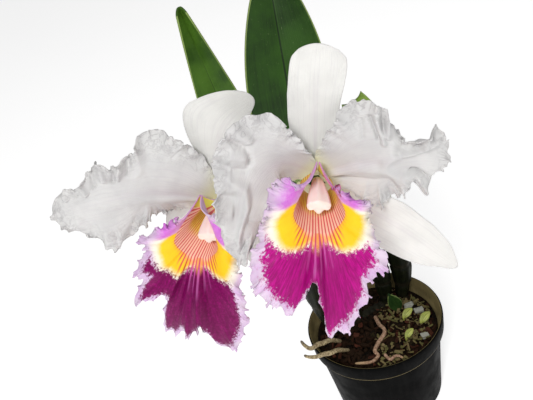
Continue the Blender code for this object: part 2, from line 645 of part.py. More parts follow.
def grit(index, place, radius):
    """A bit of pale grit resting on the mix."""
    shape = bmesh.new()
    bmesh.ops.create_icosphere(shape, subdivisions=1, radius=radius)
    for vert in shape.verts:
        vert.co.z *= 0.75
        vert.co.x *= 1.2
        vert.co += Vector((place[0] * CM, place[1] * CM, SOIL_LEVEL + 0.0006 + 0.75 * radius + GAP))
    new_object(f"grit_{index}", mesh_of(f"grit_{index}", shape), paint=material(f"grit_{index}_grey", GRIT_GREY, 0.9))


def mix_body():
    """The body of the potting mix: a plug that follows the pot's wall, its top uneven."""
    clear = POT_WALL + 3 * GAP
    low = POT_WALL + GAP
    slope = (WALL_TOP_RADIUS - BASE_RADIUS) / (RIM_HEIGHT - COLLAR_DEPTH)
    bend = RIM_HEIGHT - COLLAR_DEPTH - 0.001
    top_radius = WALL_TOP_RADIUS - clear
    rings = [(BASE_RADIUS - clear - 0.002, low), (BASE_RADIUS + slope * low - clear, low + 0.002),
             (BASE_RADIUS + slope * bend - clear, bend)]
    rings += [(share * top_radius, SOIL_LEVEL) for share in (0.97, 0.78, 0.58, 0.38, 0.18)]
    chance = random.Random(4)
    shape = bmesh.new()
    loops = []
    for radius, height in rings:
        bump = 0.0014 if height == SOIL_LEVEL else 0.0
        turns = [2 * math.pi * index / MIX_SIDES for index in range(MIX_SIDES)]
        loops.append([shape.verts.new((radius * math.cos(turn), radius * math.sin(turn),
                                       height + bump * (chance.random() - 0.5))) for turn in turns])
    for inner, outer in zip(loops, loops[1:]):
        for index in range(MIX_SIDES):
            after = (index + 1) % MIX_SIDES
            shape.faces.new((inner[index], inner[after], outer[after], outer[index]))
    shape.faces.new(loops[0])
    shape.faces.new(loops[-1])
    bmesh.ops.triangulate(shape, faces=shape.faces)
    return new_object("potting_mix", mesh_of("potting_mix", shape),
                      paint=material("mix_brown", SOIL_BROWN, 0.9))


def keep_largest(thing):
    """Drop the loose scraps that a cut leaves, keeping the body with the most corners."""
    shape = bmesh.new()
    shape.from_mesh(thing.data)
    left = set(shape.verts)
    groups = []
    while left:
        group = {left.pop()}
        edge = list(group)
        while edge:
            vert = edge.pop()
            for link in vert.link_edges:
                other = link.other_vert(vert)
                if other not in group:
                    group.add(other)
                    edge.append(other)
        left -= group
        groups.append(group)
    groups.sort(key=len)
    scraps = [vert for group in groups[:-1] for vert in group]
    bmesh.ops.delete(shape, geom=scraps, context="VERTS")
    shape.to_mesh(thing.data)
    shape.free()


def kept_clear(place, room):
    """Whether a chip at a place leaves the seedlings and the grit their room."""
    spots = [spot for spot, _, _ in SEEDLINGS] + [spot for spot, _ in GRIT]
    near = [math.hypot(place[0] - x * CM, place[1] - y * CM) for x, y in spots]
    return min(near) > room


def chip(chance, place, size):
    """A bark chip: a squared lump, knocked out of true and turned at random."""
    shape = bmesh.new()
    bmesh.ops.create_cube(shape, size=1.0)
    spin = Euler((0.5 * chance.random(), 0.5 * chance.random(), 6.3 * chance.random()))
    for vert in shape.verts:
        knock = 0.75 + 0.5 * chance.random()
        vert.co = Vector((vert.co.x * size * 1.5, vert.co.y * size, vert.co.z * size * 0.6)) * knock
        vert.co.rotate(spin)
        vert.co += Vector((*place, SOIL_LEVEL - 0.0008))
    return new_object("chip", mesh_of("chip", shape))


def potting_mix():
    """The potting mix: its body, bark chips standing out of its top, and room for what stands in it."""
    mix = mix_body()
    chance = random.Random(11)
    for index in range(CHIP_COUNT):
        far = CHIP_REACH * math.sqrt((index + 0.5) / CHIP_COUNT)
        place = (far * math.cos(index * GOLDEN_TURN), far * math.sin(index * GOLDEN_TURN))
        size = 0.005 + 0.004 * chance.random()
        if kept_clear(place, size + 0.006):
            boolean(mix, chip(chance, place, size), "UNION")
    for (x, y), _, _ in SEEDLINGS:
        boolean(mix, round_hole(x * CM, y * CM, SEEDLING_HOLE, HOLE_DEPTH), "DIFFERENCE")
    boolean(mix, round_hole(*YOUNG_LEAF_HOLE, HOLE_DEPTH), "DIFFERENCE")
    for places, radii in [(RHIZOME, RHIZOME_RADII), *BULBS.values(), *ROOTS.values()]:
        boolean(mix, room(places, radii), "DIFFERENCE", solver="MANIFOLD")
    keep_largest(mix)


def round_hole(x, y, radius, depth):
    """A cutter for a plain round hole in the top of the mix."""
    shape = bmesh.new()
    bmesh.ops.create_cone(shape, cap_ends=True, segments=12, radius1=radius, radius2=radius, depth=0.02)
    bmesh.ops.translate(shape, verts=shape.verts, vec=(x, y, SOIL_LEVEL - depth + 0.01))
    return new_object("hole", mesh_of("hole", shape))


def main():
    """Build every piece."""
    bloom("front", FRONT, FRONT_SEPALS, FRONT_PETALS, FRONT_LIP, 0.10)
    bloom("side", SIDE, SIDE_SEPALS, SIDE_PETALS, SIDE_LIP, 0.10)
    flower_stem()
    blade("sheath", WORLD, SHEATH, (8, 8), material("sheath_tan", SHEATH_TAN, 0.6), thick=0.0007)
    for name, shape in LEAVES.items():
        leaf(name, shape)
    for name, (places, radii) in BULBS.items():
        bulb(name, places, radii)
    tube_mesh("rhizome", np.array(RHIZOME) * CM, RHIZOME_RADII, paint=material("rhizome_brown", BULB_GREEN, 0.7))
    for name, (places, radii) in ROOTS.items():
        aerial_root(name, places, radii)
    for index, (place, size, turn) in enumerate(SEEDLINGS, 1):
        seedling(index, place, size, turn)
    for index, (place, radius) in enumerate(GRIT, 1):
        grit(index, place, radius)
    pot()
    potting_mix()


main()
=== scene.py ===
import math
import random

import bmesh
import bpy
import numpy as np
from mathutils import Euler, Matrix, Vector


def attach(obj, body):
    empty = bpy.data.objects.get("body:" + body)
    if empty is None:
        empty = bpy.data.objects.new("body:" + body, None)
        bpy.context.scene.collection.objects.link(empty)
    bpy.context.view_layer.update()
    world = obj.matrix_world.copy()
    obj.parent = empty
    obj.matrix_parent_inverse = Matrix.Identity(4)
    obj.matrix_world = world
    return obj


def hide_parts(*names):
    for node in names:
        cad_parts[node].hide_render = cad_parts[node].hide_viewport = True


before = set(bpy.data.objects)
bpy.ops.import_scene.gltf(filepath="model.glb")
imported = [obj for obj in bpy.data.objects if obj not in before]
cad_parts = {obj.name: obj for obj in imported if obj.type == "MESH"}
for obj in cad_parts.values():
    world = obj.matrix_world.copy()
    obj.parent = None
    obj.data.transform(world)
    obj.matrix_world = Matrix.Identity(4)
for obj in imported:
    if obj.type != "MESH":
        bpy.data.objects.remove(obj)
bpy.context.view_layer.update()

# A cattleya orchid in bloom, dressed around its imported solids. Metres, +Z up, the front
# towards -Y; petals, lips and leaves are worked out in centimetres and then placed.

CM = 0.01

# Camera, floor and light. The picture looks down at the open blooms from in front, turned
# a little to one side, over a plain white ground lit softly from all round.

LOOK_DOWN, LEAN = math.radians(31.8), math.radians(18.0)
FOCAL_PIXELS, PHOTO_WIDTH = 680.0, 533.0
RIM_IN_VIEW = (0.0951, -0.1040, 0.6036)
POT_TOP = 0.087

ahead = np.array([0.0, math.cos(LOOK_DOWN), -math.sin(LOOK_DOWN)])
upright = np.array([0.0, math.sin(LOOK_DOWN), math.cos(LOOK_DOWN)])
across_view = math.cos(LEAN) * np.array([1.0, 0.0, 0.0]) - math.sin(LEAN) * upright
up_view = math.sin(LEAN) * np.array([1.0, 0.0, 0.0]) + math.cos(LEAN) * upright
stand = (np.array([0.0, 0.0, POT_TOP]) - RIM_IN_VIEW[0] * across_view
         - RIM_IN_VIEW[1] * up_view - RIM_IN_VIEW[2] * ahead)

lens = bpy.data.cameras.new("camera")
lens.sensor_width = 36.0
lens.lens = FOCAL_PIXELS / PHOTO_WIDTH * lens.sensor_width
lens.clip_start = 0.01
camera = bpy.data.objects.new("camera", lens)
bpy.context.scene.collection.objects.link(camera)
turned = np.eye(4)
turned[:3, 0], turned[:3, 1], turned[:3, 2], turned[:3, 3] = across_view, up_view, -ahead, stand
camera.matrix_world = Matrix(turned.tolist())
bpy.context.scene.camera = camera
bpy.context.scene.view_settings.view_transform = "Standard"


def paint(red, green, blue):
    """Linear colour, with full alpha, of display values from 0 to 255."""
    shares = np.array([red, green, blue]) / 255.0
    linear = np.where(shares <= 0.04045, shares / 12.92, ((shares + 0.055) / 1.055) ** 2.4)
    return (*linear.tolist(), 1.0)


class Finish:
    """A material made of nodes: each call adds a node or two and gives the output socket."""

    def __init__(self, name, **constants):
        self.material = bpy.data.materials.new(name)
        self.material.use_nodes = True
        self.tree = self.material.node_tree
        self.shader = self.tree.nodes["Principled BSDF"]
        for socket, value in constants.items():
            self.shader.inputs[socket.replace("_", " ")].default_value = value

    def add(self, kind, sockets, out=0, **settings):
        """A node with its settings; each socket takes a value or a link."""
        node = self.tree.nodes.new("ShaderNode" + kind)
        for key, value in settings.items():
            setattr(node, key, value)
        for key, value in sockets.items():
            if isinstance(value, bpy.types.NodeSocket):
                self.tree.links.new(value, node.inputs[key])
            else:
                node.inputs[key].default_value = value
        return node.outputs[out]

    def place(self, stretch=(1.0, 1.0, 1.0)):
        """Object coordinates in metres, stretched along each axis."""
        return self.add("Mapping", {"Vector": self.add("TexCoord", {}, out="Object"), "Scale": stretch})

    def way(self, stretch=(1.0, 1.0, 1.0)):
        """The piece's own map: across and along it, stretched."""
        return self.add("Mapping", {"Vector": self.add("UVMap", {}, uv_map="way"), "Scale": stretch})

    def value(self, name):
        """A value kept at each point of the mesh."""
        return self.add("Attribute", {}, out="Fac", attribute_name=name)

    def grain(self, where, scale, detail=3.0, harsh=0.5, warp=0.0):
        """Soft noise from 0 to 1."""
        return self.add("TexNoise", {"Vector": where, "Scale": scale, "Detail": detail,
                                     "Roughness": harsh, "Distortion": warp}, out="Fac")

    def cells(self, where, scale):
        """Distance inside scattered cells."""
        return self.add("TexVoronoi", {"Vector": where, "Scale": scale})

    def grade(self, value, low, high, start=0.0, end=1.0):
        """A smooth step of a value between two of its values."""
        return self.add("MapRange", {"Value": value, "From Min": low, "From Max": high,
                                     "To Min": start, "To Max": end}, interpolation_type="SMOOTHSTEP")

    def sum(self, how, first, second):
        """Arithmetic on two values."""
        return self.add("Math", {0: first, 1: second}, operation=how)

    def plus(self, first, second):
        """Two values added."""
        return self.sum("ADD", first, second)

    def times(self, first, second):
        """Two values multiplied."""
        return self.sum("MULTIPLY", first, second)

    def size(self, value):
        """A value without its sign."""
        return self.sum("ABSOLUTE", value, 0.0)

    def blend(self, share, under, over):
        """One colour, a socket or three display values, laid over another by a share."""
        under, over = (paint(*colour) if isinstance(colour, tuple) else colour for colour in (under, over))
        return self.add("Mix", {0: share, 6: under, 7: over}, out=2, data_type="RGBA")

    def over(self, under, colour, value, low, high, most=1.0):
        """One colour laid over another: not at all where the value is low, the most where high."""
        return self.blend(self.grade(value, low, high, 0.0, most), under, colour)

    def relief(self, height, strength, depth):
        """Bump from a height, on the shader."""
        bump = self.add("Bump", {"Height": height, "Strength": strength, "Distance": depth})
        self.tree.links.new(bump, self.shader.inputs["Normal"])

    def colour(self, value):
        """The shader's colour."""
        self.tree.links.new(value, self.shader.inputs["Base Color"])

    def rough(self, value):
        """The shader's roughness."""
        self.tree.links.new(value, self.shader.inputs["Roughness"])


def grid_piece(name, places, finish, wall=0.0, values=None, closed=False, smooth=True):
    """A piece from a grid of places, one face between each four neighbours.

    places holds rows, columns and the three coordinates, after a count of grids where there are
    several. A closed piece has its last column joined to the first, and the points that meet at
    a pole merged. A wall thickens a sheet evenly. Values are kept at the points, by name.
    """
    rows, columns = places.shape[-3:-1]
    index = np.arange(places.size // 3).reshape(-1, rows, columns)
    after = np.roll(index, -1, axis=2) if closed else index[:, :, 1:]
    here = index if closed else index[:, :, :-1]
    faces = np.stack([here[:, :-1], after[:, :-1], after[:, 1:], here[:, 1:]], axis=-1).reshape(-1, 4)
    mesh = bpy.data.meshes.new(name)
    mesh.from_pydata(places.reshape(-1, 3), [], faces)
    across, along = np.meshgrid(np.linspace(0, 1, columns), np.linspace(0, 1, rows))
    corner = np.empty(len(mesh.loops), np.int32)
    mesh.loops.foreach_get("vertex_index", corner)
    spots = np.stack([across.ravel(), along.ravel()], axis=1)[corner % (rows * columns)]
    mesh.uv_layers.new(name="way").data.foreach_set("uv", spots.ravel())
    for key, value in (values or {}).items():
        spread = np.broadcast_to(value, places.shape[:-1]).astype(np.float32)
        mesh.attributes.new(key, "FLOAT", "POINT").data.foreach_set("value", spread.ravel())
    if closed:
        shape = bmesh.new()
        shape.from_mesh(mesh)
        bmesh.ops.remove_doubles(shape, verts=shape.verts, dist=1e-6)
        bmesh.ops.recalc_face_normals(shape, faces=shape.faces)
        shape.to_mesh(mesh)
        shape.free()
    if smooth:
        mesh.shade_smooth()
    mesh.materials.append(finish.material)
    piece = bpy.data.objects.new(name, mesh)
    bpy.context.scene.collection.objects.link(piece)
    if wall:
        solid = piece.modifiers.new("Wall", "SOLIDIFY")
        solid.thickness = wall
        solid.offset = 0.0
    return piece


FLOOR_HALF = 6.0
ground = Finish("ground_white", Roughness=0.9, Emission_Color=(1.0, 1.0, 1.0, 1.0), Emission_Strength=0.50)
speckle = ground.grain(ground.place(), 3.0, detail=2.0)
ground.colour(ground.blend(speckle, (252, 252, 252), (255, 255, 255)))
sides = np.linspace(-FLOOR_HALF, FLOOR_HALF, 3)
floor_x, floor_y = np.meshgrid(sides, sides)
floor = grid_piece("floor", np.stack([floor_x, floor_y, 0 * floor_x], axis=-1), ground)

sky = bpy.data.worlds.new("studio")
sky.use_nodes = True
sky.node_tree.nodes["Background"].inputs["Color"].default_value = (1.0, 1.0, 1.0, 1.0)
sky.node_tree.nodes["Background"].inputs["Strength"].default_value = 0.36
bpy.context.scene.world = sky

BLOOMS_MIDDLE = Vector((-0.03, -0.08, 0.22))
LAMPS = [((-0.38, -1.05, 1.15), 0.40, 10.5), ((0.95, -0.75, 0.75), 0.6, 1.0), ((0.3, 0.9, 1.4), 1.2, 1.5)]
for number, (spot, width, power) in enumerate(LAMPS, 1):
    lamp = bpy.data.lights.new(f"softbox_{number}", "AREA")
    lamp.shape = "DISK"
    lamp.size = width
    lamp.energy = power
    holder = bpy.data.objects.new(lamp.name, lamp)
    bpy.context.scene.collection.objects.link(holder)
    holder.location = spot
    holder.rotation_euler = (BLOOMS_MIDDLE - Vector(spot)).to_track_quat("-Z", "Y").to_euler()

# The pot: a thin nursery pot of black plastic, formed in one piece, with a collar that stands
# proud at the rim and six round holes through its floor. Its inner rim is dusty with lime.

POT_WALL, POT_ROUND = 0.0014, 160
RIM, COLLAR, WAIST, FOOT = 0.060, 0.016, 0.0555, 0.048
POT_PROFILE = [
    (0.0, 0.0), (0.030, 0.0), (FOOT - 0.0010, 0.0), (FOOT - 0.0003, 0.0003), (FOOT, 0.001),
    (FOOT + 0.0030, 0.030), (FOOT + 0.0055, 0.052), (WAIST, POT_TOP - COLLAR),
    (WAIST + 0.0012, POT_TOP - COLLAR + 0.0002), (RIM - 0.0014, POT_TOP - COLLAR + 0.0010),
    (RIM - 0.0009, POT_TOP - COLLAR + 0.0022), (RIM - 0.0002, POT_TOP - 0.0060),
    (RIM, POT_TOP - 0.0035), (RIM, POT_TOP - 0.0010), (RIM - 0.0003, POT_TOP - 0.0003),
    (RIM - 0.0009, POT_TOP), (RIM - 0.0016, POT_TOP - 0.0002), (RIM - 0.0020, POT_TOP - 0.0010),
    (RIM - 0.0030, POT_TOP - 0.0080), (RIM - 0.0040, POT_TOP - COLLAR + 0.0030),
    (WAIST - POT_WALL, POT_TOP - COLLAR + 0.0012), (FOOT + 0.0040 - POT_WALL, 0.040),
    (FOOT - POT_WALL, POT_WALL + 0.001), (FOOT - POT_WALL - 0.001, POT_WALL), (0.0, POT_WALL)]


def turned_piece(name, profile, sides, finish):
    """A profile of radius and height carried round the upright axis: (r cos t, r sin t, h)."""
    radius, height = np.array(profile, float).T
    turn = np.linspace(0, 2 * np.pi, sides, endpoint=False)
    places = np.stack([radius[:, None] * np.cos(turn), radius[:, None] * np.sin(turn),
                       np.repeat(height[:, None], sides, axis=1)], axis=-1)
    return grid_piece(name, places, finish, closed=True)


def carved(piece, tool, how="DIFFERENCE"):
    """Cut the tool from the piece, or join it on, and keep only the result."""
    cut = piece.modifiers.new("Carve", "BOOLEAN")
    cut.operation, cut.solver, cut.object = how, "EXACT", tool
    bpy.context.view_layer.update()
    made = bpy.data.meshes.new_from_object(piece.evaluated_get(bpy.context.evaluated_depsgraph_get()))
    piece.modifiers.clear()
    piece.data = made
    bpy.data.objects.remove(tool, do_unlink=True)


def fitted(piece, node=None):
    """Fix a piece to the plant, in the place of its node where it has one."""
    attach(piece, "root")
    if node:
        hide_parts(node)
    return piece


plastic = Finish("pot_black_plastic", Roughness=0.5, Specular_IOR_Level=0.02)
streaks = plastic.grain(plastic.place((1.0, 1.0, 0.12)), 260.0, detail=4.0)
dust = plastic.grain(plastic.place(), 70.0, detail=5.0, harsh=0.65)
lime = plastic.times(plastic.value("inside"), plastic.grade(dust, 0.30, 0.62, 0.6, 1.0))
# Black plastic with lighter streaks: painted sheen, in place of faint highlights on the plastic.
sheen_streaked_black = plastic.over((8, 8, 8), (26, 25, 24), streaks, 0.45, 0.8, 0.35)
plastic.colour(plastic.blend(lime, sheen_streaked_black, (142, 128, 88)))
plastic.rough(plastic.grade(dust, 0.3, 0.7, 0.36, 0.6))
plastic.relief(plastic.plus(streaks, dust), 0.12, 0.0004)

pot = turned_piece("nursery_pot", POT_PROFILE, POT_ROUND, plastic)
DRAINS, DRAIN_RADIUS, DRAIN_RING = 6, 0.004, 0.030
DRILL = [(0.0, -0.004), (DRAIN_RADIUS, -0.004), (DRAIN_RADIUS, 0.006), (0.0, 0.006)]
for turn in np.arange(DRAINS) * 2 * math.pi / DRAINS:
    drill = turned_piece("drill", DRILL, 28, plastic)
    drain = (DRAIN_RING * math.cos(turn), DRAIN_RING * math.sin(turn), 0.0)
    drill.data.transform(Matrix.Translation(drain))
    carved(pot, drill)
spots = np.empty(len(pot.data.vertices) * 3, np.float32)
pot.data.vertices.foreach_get("co", spots)
spots = spots.reshape(-1, 3)
far = np.hypot(spots[:, 0], spots[:, 1])
inside = (far < RIM - 0.0012) & (far > WAIST - 0.004) & (spots[:, 2] > POT_TOP - COLLAR)
pot.data.attributes.new("inside", "FLOAT", "POINT").data.foreach_set("value", inside.astype(np.float32))
pot.data.set_sharp_from_angle(angle=math.radians(50))
fitted(pot, "pot")

# The potting mix: old bark with grit and moss, damp and dark, filled to a little below the
# rim. A bumpy bed carries loose bark chips, pushed in at all angles, and scraps of dead moss.

SOIL, BED_RADIUS = 0.074, 0.0535
MIX_FLOOR = POT_WALL + 0.0004
MIX_ROWS, MIX_COLUMNS = 90, 200
ring = np.linspace(0, 1, MIX_ROWS)[:, None]
turn = np.linspace(0, 2 * np.pi, MIX_COLUMNS, endpoint=False)[None, :]


def ripple(x, y, sizes, seed):
    """Sum of crossed waves in seeded directions, each of a wavelength and height in metres."""
    chance = random.Random(seed)
    total = np.zeros(np.broadcast(x, y).shape)
    for length, height in sizes:
        for _ in range(4):
            heading, shift = chance.uniform(0, 2 * math.pi), chance.uniform(0, 2 * math.pi)
            phase = 2 * math.pi * (x * math.cos(heading) + y * math.sin(heading)) / length
            total = total + 0.25 * height * np.sin(phase + shift)
    return total


bed_x, bed_y = BED_RADIUS * ring * np.cos(turn), BED_RADIUS * ring * np.sin(turn)
bed_top = SOIL - 0.0008 + ripple(bed_x, bed_y, [(0.022, 0.0040), (0.009, 0.0030), (0.004, 0.0018)], 5)
bed_top = SOIL + (bed_top - SOIL) * (1 - ring**12)
side_depth = np.linspace(SOIL - 0.002, MIX_FLOOR, 12)[:, None]
side_radius = FOOT - 0.0024 + (WAIST - FOOT) * side_depth / (POT_TOP - COLLAR)
side_radius = np.minimum(side_radius, BED_RADIUS)
bed = np.stack([bed_x, bed_y, bed_top + 0 * turn], axis=-1)
wall = np.stack([side_radius * np.cos(turn), side_radius * np.sin(turn), side_depth + 0 * turn], axis=-1)
foot = np.stack([0 * turn, 0 * turn, 0 * turn + MIX_FLOOR], axis=-1)

bark = Finish("old_bark", Roughness=0.85, Specular_IOR_Level=0.1)
crumb = bark.grain(bark.place(), 420.0, detail=6.0, harsh=0.7)
brown = bark.over((8, 6, 4), (44, 30, 20), crumb, 0.35, 0.7)
brown = bark.over(brown, (66, 56, 30), bark.grain(bark.place(), 90.0, detail=3.0), 0.55, 0.72, 0.6)
bark.colour(bark.over(brown, (8, 6, 5), bark.cells(bark.place(), 700.0), 0.12, 0.05, 0.5))
bark.relief(crumb, 0.9, 0.0012)
bark_bed = grid_piece("bark_bed", np.concatenate([bed, wall, foot]), bark, closed=True)
fitted(bark_bed, "potting_mix")

CHIPS, CHIP_SEED = 260, 8
CHIP_REACH, GOLDEN_TURN = 0.051, 2.39996
chance = random.Random(CHIP_SEED)
chip = Finish("bark_chip", Roughness=0.8, Specular_IOR_Level=0.1)
layer = chip.grain(chip.place((1.0, 1.0, 3.0)), 300.0, detail=5.0, harsh=0.65)
chip.colour(chip.blend(chip.value("tone"), chip.blend(layer, (8, 5, 3), (52, 34, 20)),
                       chip.blend(layer, (40, 18, 12), (116, 66, 50))))
chip.relief(layer, 0.8, 0.0008)


def lump(place, half, spin, knock, steps=(6, 10)):
    """A rounded block: a squared sphere of half sizes, dented by seeded waves, turned and placed.

    The squared sphere is sign(s)|s|^0.35 of each sine and cosine of an ordinary sphere.
    """
    down = np.linspace(0, np.pi, steps[0])[:, None]
    about = np.linspace(0, 2 * np.pi, steps[1], endpoint=False)[None, :]

    def squared(values):
        return np.sign(values) * np.abs(values) ** 0.35

    shape = np.stack([squared(np.sin(down)) * squared(np.cos(about)),
                      squared(np.sin(down)) * squared(np.sin(about)),
                      squared(np.cos(down)) + 0 * about], axis=-1)
    dent = 1 + 0.16 * np.sin(2 * about + knock) * np.sin(down) + 0.12 * np.sin(3 * down + 2 * knock)
    shape = shape * dent[..., None] * np.array(half)
    return shape @ np.array(spin).T + np.array(place)


def scattered(name, lumps, finish, tones):
    """Many lumps as one faceted mesh, each with a tone of its own kept at its points."""
    tones = {"tone": np.array(tones)[:, None, None]}
    piece = grid_piece(name, np.stack(lumps), finish, values=tones, closed=True, smooth=False)
    return fitted(piece)


def turned_by(chance, tilt):
    """A seeded turn: any way about the upright axis, and a tilt of up to so many radians."""
    tilts = chance.uniform(-tilt, tilt), chance.uniform(-tilt, tilt)
    return Euler((*tilts, chance.uniform(0, 2 * math.pi))).to_matrix()


chips, tones = [], []
for number in range(CHIPS):
    far, about = CHIP_REACH * math.sqrt((number + 0.5) / CHIPS), number * GOLDEN_TURN
    spot = (far * math.cos(about), far * math.sin(about), SOIL + chance.uniform(-0.0005, 0.0012))
    half = (chance.uniform(0.0012, 0.0055), chance.uniform(0.0010, 0.0028), chance.uniform(0.0006, 0.0014))
    chips.append(lump(spot, half, turned_by(chance, 0.7), chance.uniform(0, 6)))
    tones.append(chance.random() ** 4)
scattered("bark_chips", chips, chip, tones)

# Dead moss and leaf scraps: thin curled flakes, olive to tan, lying between the chips where
# the light reaches the front of the pot.

FLAKES, FLAKE_SEED = 240, 21
chance = random.Random(FLAKE_SEED)
moss = Finish("dead_moss", Roughness=0.75)
mottle = moss.grain(moss.place(), 500.0, detail=4.0)
moss.colour(moss.blend(moss.value("tone"), moss.blend(mottle, (44, 46, 18), (124, 120, 58)),
                       moss.blend(mottle, (62, 48, 26), (160, 138, 92))))
moss.relief(mottle, 0.6, 0.0006)
flakes, tones = [], []
for number in range(FLAKES):
    turn_at, far = chance.uniform(-1.9, 1.0), 0.049 * math.sqrt(chance.uniform(0.05, 1.0))
    spot = (far * math.cos(turn_at), far * math.sin(turn_at), SOIL + chance.uniform(0.0012, 0.0034))
    half = (chance.uniform(0.0010, 0.0036), chance.uniform(0.0005, 0.0015), chance.uniform(0.0003, 0.0006))
    flakes.append(lump(spot, half, turned_by(chance, 0.8), chance.uniform(0, 6), steps=(5, 8)))
    tones.append(chance.random())
scattered("moss_scraps", flakes, moss, tones)

# Grit: three rounded bits of pale grey stone that lie on the mix.

stone = Finish("grey_grit", Roughness=0.9)
pores = stone.grain(stone.place(), 1400.0, detail=5.0, harsh=0.7)
stone.colour(stone.blend(pores, (120, 122, 112), (206, 205, 192)))
stone.relief(pores, 0.7, 0.0005)
GRIT = [((3.5, 1.0), 0.0034), ((4.1, 0.1), 0.0029), ((3.5, -3.0), 0.0026)]
for number, ((x, y), radius) in enumerate(GRIT, 1):
    middle = (x * CM, y * CM, SOIL + 0.0009 + 0.75 * radius)
    half = (1.15 * radius, 0.95 * radius, 0.72 * radius)
    places = lump(middle, half, np.eye(3), 0.9 * number, steps=(22, 34))
    rough_skin = 1 + 0.05 * ripple(places[..., 0], places[..., 1] + places[..., 2], [(0.0016, 1.0)], number)
    places = middle + (places - middle) * rough_skin[..., None]
    pebble = grid_piece(f"grit_stone_{number}", places, stone, closed=True)
    fitted(pebble, f"grit_{number}")

# Rhizome and pseudobulbs: the creeping stem that lies on the mix, and the jointed, ribbed
# clubs that grow up from it. Leathery, their olive green painted nearly black as painted shade,
# with papery brown rings of old sheath.


def unit(vectors):
    """Vectors scaled along the last axis to length one."""
    vectors = np.asarray(vectors, float)
    return vectors / np.maximum(np.linalg.norm(vectors, axis=-1, keepdims=True), 1e-12)


def through(knots, count):
    """Points on a smooth curve through the knots, evenly many between each two.

    Between knots b and c, with a before and d after, a point is
    (2b + (c-a)t + (2a-5b+4c-d)tt + (3b-a-3c+d)ttt) / 2.
    """
    knots = np.asarray(knots, float)
    knots = knots[:, None] if knots.ndim == 1 else knots
    padded = np.concatenate([[2 * knots[0] - knots[1]], knots, [2 * knots[-1] - knots[-2]]])
    spot = np.linspace(0, len(knots) - 1, count)
    index = np.minimum(spot.astype(int), len(knots) - 2)
    t = (spot - index)[:, None]
    a, b, c, d = (padded[index + step] for step in range(4))
    return 0.5 * (2 * b + (c - a) * t + (2 * a - 5 * b + 4 * c - d) * t**2 + (3 * b - a - 3 * c + d) * t**3)


def tube_piece(name, knots, radii, steps, finish, relief, values=None):
    """A closed tube through knots in centimetres: centre + radius (cos u side + sin u rise).

    Steps counts its rows and columns, its ends are domed, and relief scales its radius.
    """
    rows, columns = steps
    centre = through(np.array(knots) * CM, rows)
    radius = through(radii, rows)[:, 0]
    tangent = unit(np.gradient(centre, axis=0))
    leaning = abs(tangent[:, 2]).mean() < 0.8
    side = unit(np.cross(tangent, [0.13, 0.37, 0.92] if leaning else [0.0, 1.0, 0.1]))
    rise = np.cross(side, tangent)
    ends = np.linspace(0, 1, rows)
    dome = np.sqrt(np.clip(1 - np.clip(1 - ends * rows / 4, 0, 1) ** 2, 0, 1))
    dome = dome * np.sqrt(np.clip(1 - np.clip(1 - (1 - ends) * rows / 4, 0, 1) ** 2, 0, 1))
    turn = np.linspace(0, 2 * np.pi, columns, endpoint=False)
    width = (radius * dome)[:, None] * relief(ends[:, None], turn[None, :])
    round_it = np.cos(turn)[None, :, None] * side[:, None] + np.sin(turn)[None, :, None] * rise[:, None]
    return grid_piece(name, centre[:, None] + width[..., None] * round_it, finish, closed=True,
                      values=values)


RHIZOME = [(-3.9, 1.0, 7.3), (-2.6, 1.2, 7.35), (-0.6, 1.9, 7.4), (1.6, 2.4, 7.35), (4.1, 2.6, 7.3)]
RHIZOME_RADII = [0.0035, 0.0045, 0.0045, 0.0050, 0.0035]
BULBS = {
    "flowering_pseudobulb": ([(-3.2, 1.05, 7.35), (-3.9, 0.6, 10.0), (-4.3, -0.5, 14.5),
                              (-3.9, -1.7, 19.5), (-2.9, -2.95, 24.0)],
                             [0.0040, 0.0070, 0.0100, 0.0090, 0.0050]),
    "left_pseudobulb": ([(-0.9, 1.85, 7.4), (-1.9, 2.0, 10.0), (-4.0, 1.5, 15.0),
                         (-5.6, 0.2, 20.0), (-6.3, -1.2, 24.0)],
                        [0.0040, 0.0060, 0.0085, 0.0080, 0.0040]),
    "back_pseudobulb": ([(3.3, 2.6, 7.32), (3.9, 3.2, 9.6), (4.0, 3.3, 12.5),
                         (3.7, 2.6, 16.5), (3.5, 2.1, 19.0)],
                        [0.0042, 0.0085, 0.0110, 0.0080, 0.0040]),
    "old_pseudobulb": ([(1.8, 2.45, 7.35), (2.0, 3.1, 9.2), (2.1, 3.5, 11.5), (2.2, 3.6, 13.2)],
                       [0.0040, 0.0075, 0.0080, 0.0030])}

skin = Finish("pseudobulb_skin_painted_shade", Roughness=0.55, Specular_IOR_Level=0.12)
ribs = skin.grain(skin.way((60.0, 2.0, 1.0)), 1.0, detail=3.0)
flecks = skin.grain(skin.place(), 240.0, detail=4.0)
# Near-black olive: painted shade, the green darkened as if in the shade of the blooms.
painted_shade_olive = skin.over((10, 13, 5), (28, 33, 12), flecks, 0.3, 0.75)
painted_shade_olive = skin.over(painted_shade_olive, (8, 9, 4), ribs, 0.42, 0.62, 0.5)
papery = skin.times(skin.value("sheathed"), skin.grade(flecks, 0.3, 0.6, 0.5, 1.0))
skin.colour(skin.blend(papery, painted_shade_olive, (40, 36, 26)))
skin.relief(ribs, 0.5, 0.0008)
JOINTS = (0.16, 0.38, 0.62, 0.84)


def bulb_relief(along, turn):
    """Ribs down the club and pinched rings at its joints."""
    joints = sum(np.exp(-((along - spot) / 0.018) ** 2) for spot in JOINTS)
    return 1 + 0.035 * np.sin(9 * turn + 2 * along) - 0.10 * joints


def sheathed(along):
    """How papery the skin is: full at the joints and the foot, none between."""
    rings = sum(np.exp(-((along - spot - 0.015) / 0.022) ** 2) for spot in JOINTS)
    return np.clip(rings + np.clip(1 - along / 0.10, 0, 1), 0, 1)


CLUB_ROWS = 90
papers = {"sheathed": sheathed(np.linspace(0, 1, CLUB_ROWS)[:, None])}
for name, (knots, radii) in BULBS.items():
    club = tube_piece(name + "_club", knots, radii, (CLUB_ROWS, 40), skin, bulb_relief, papers)
    fitted(club, name)

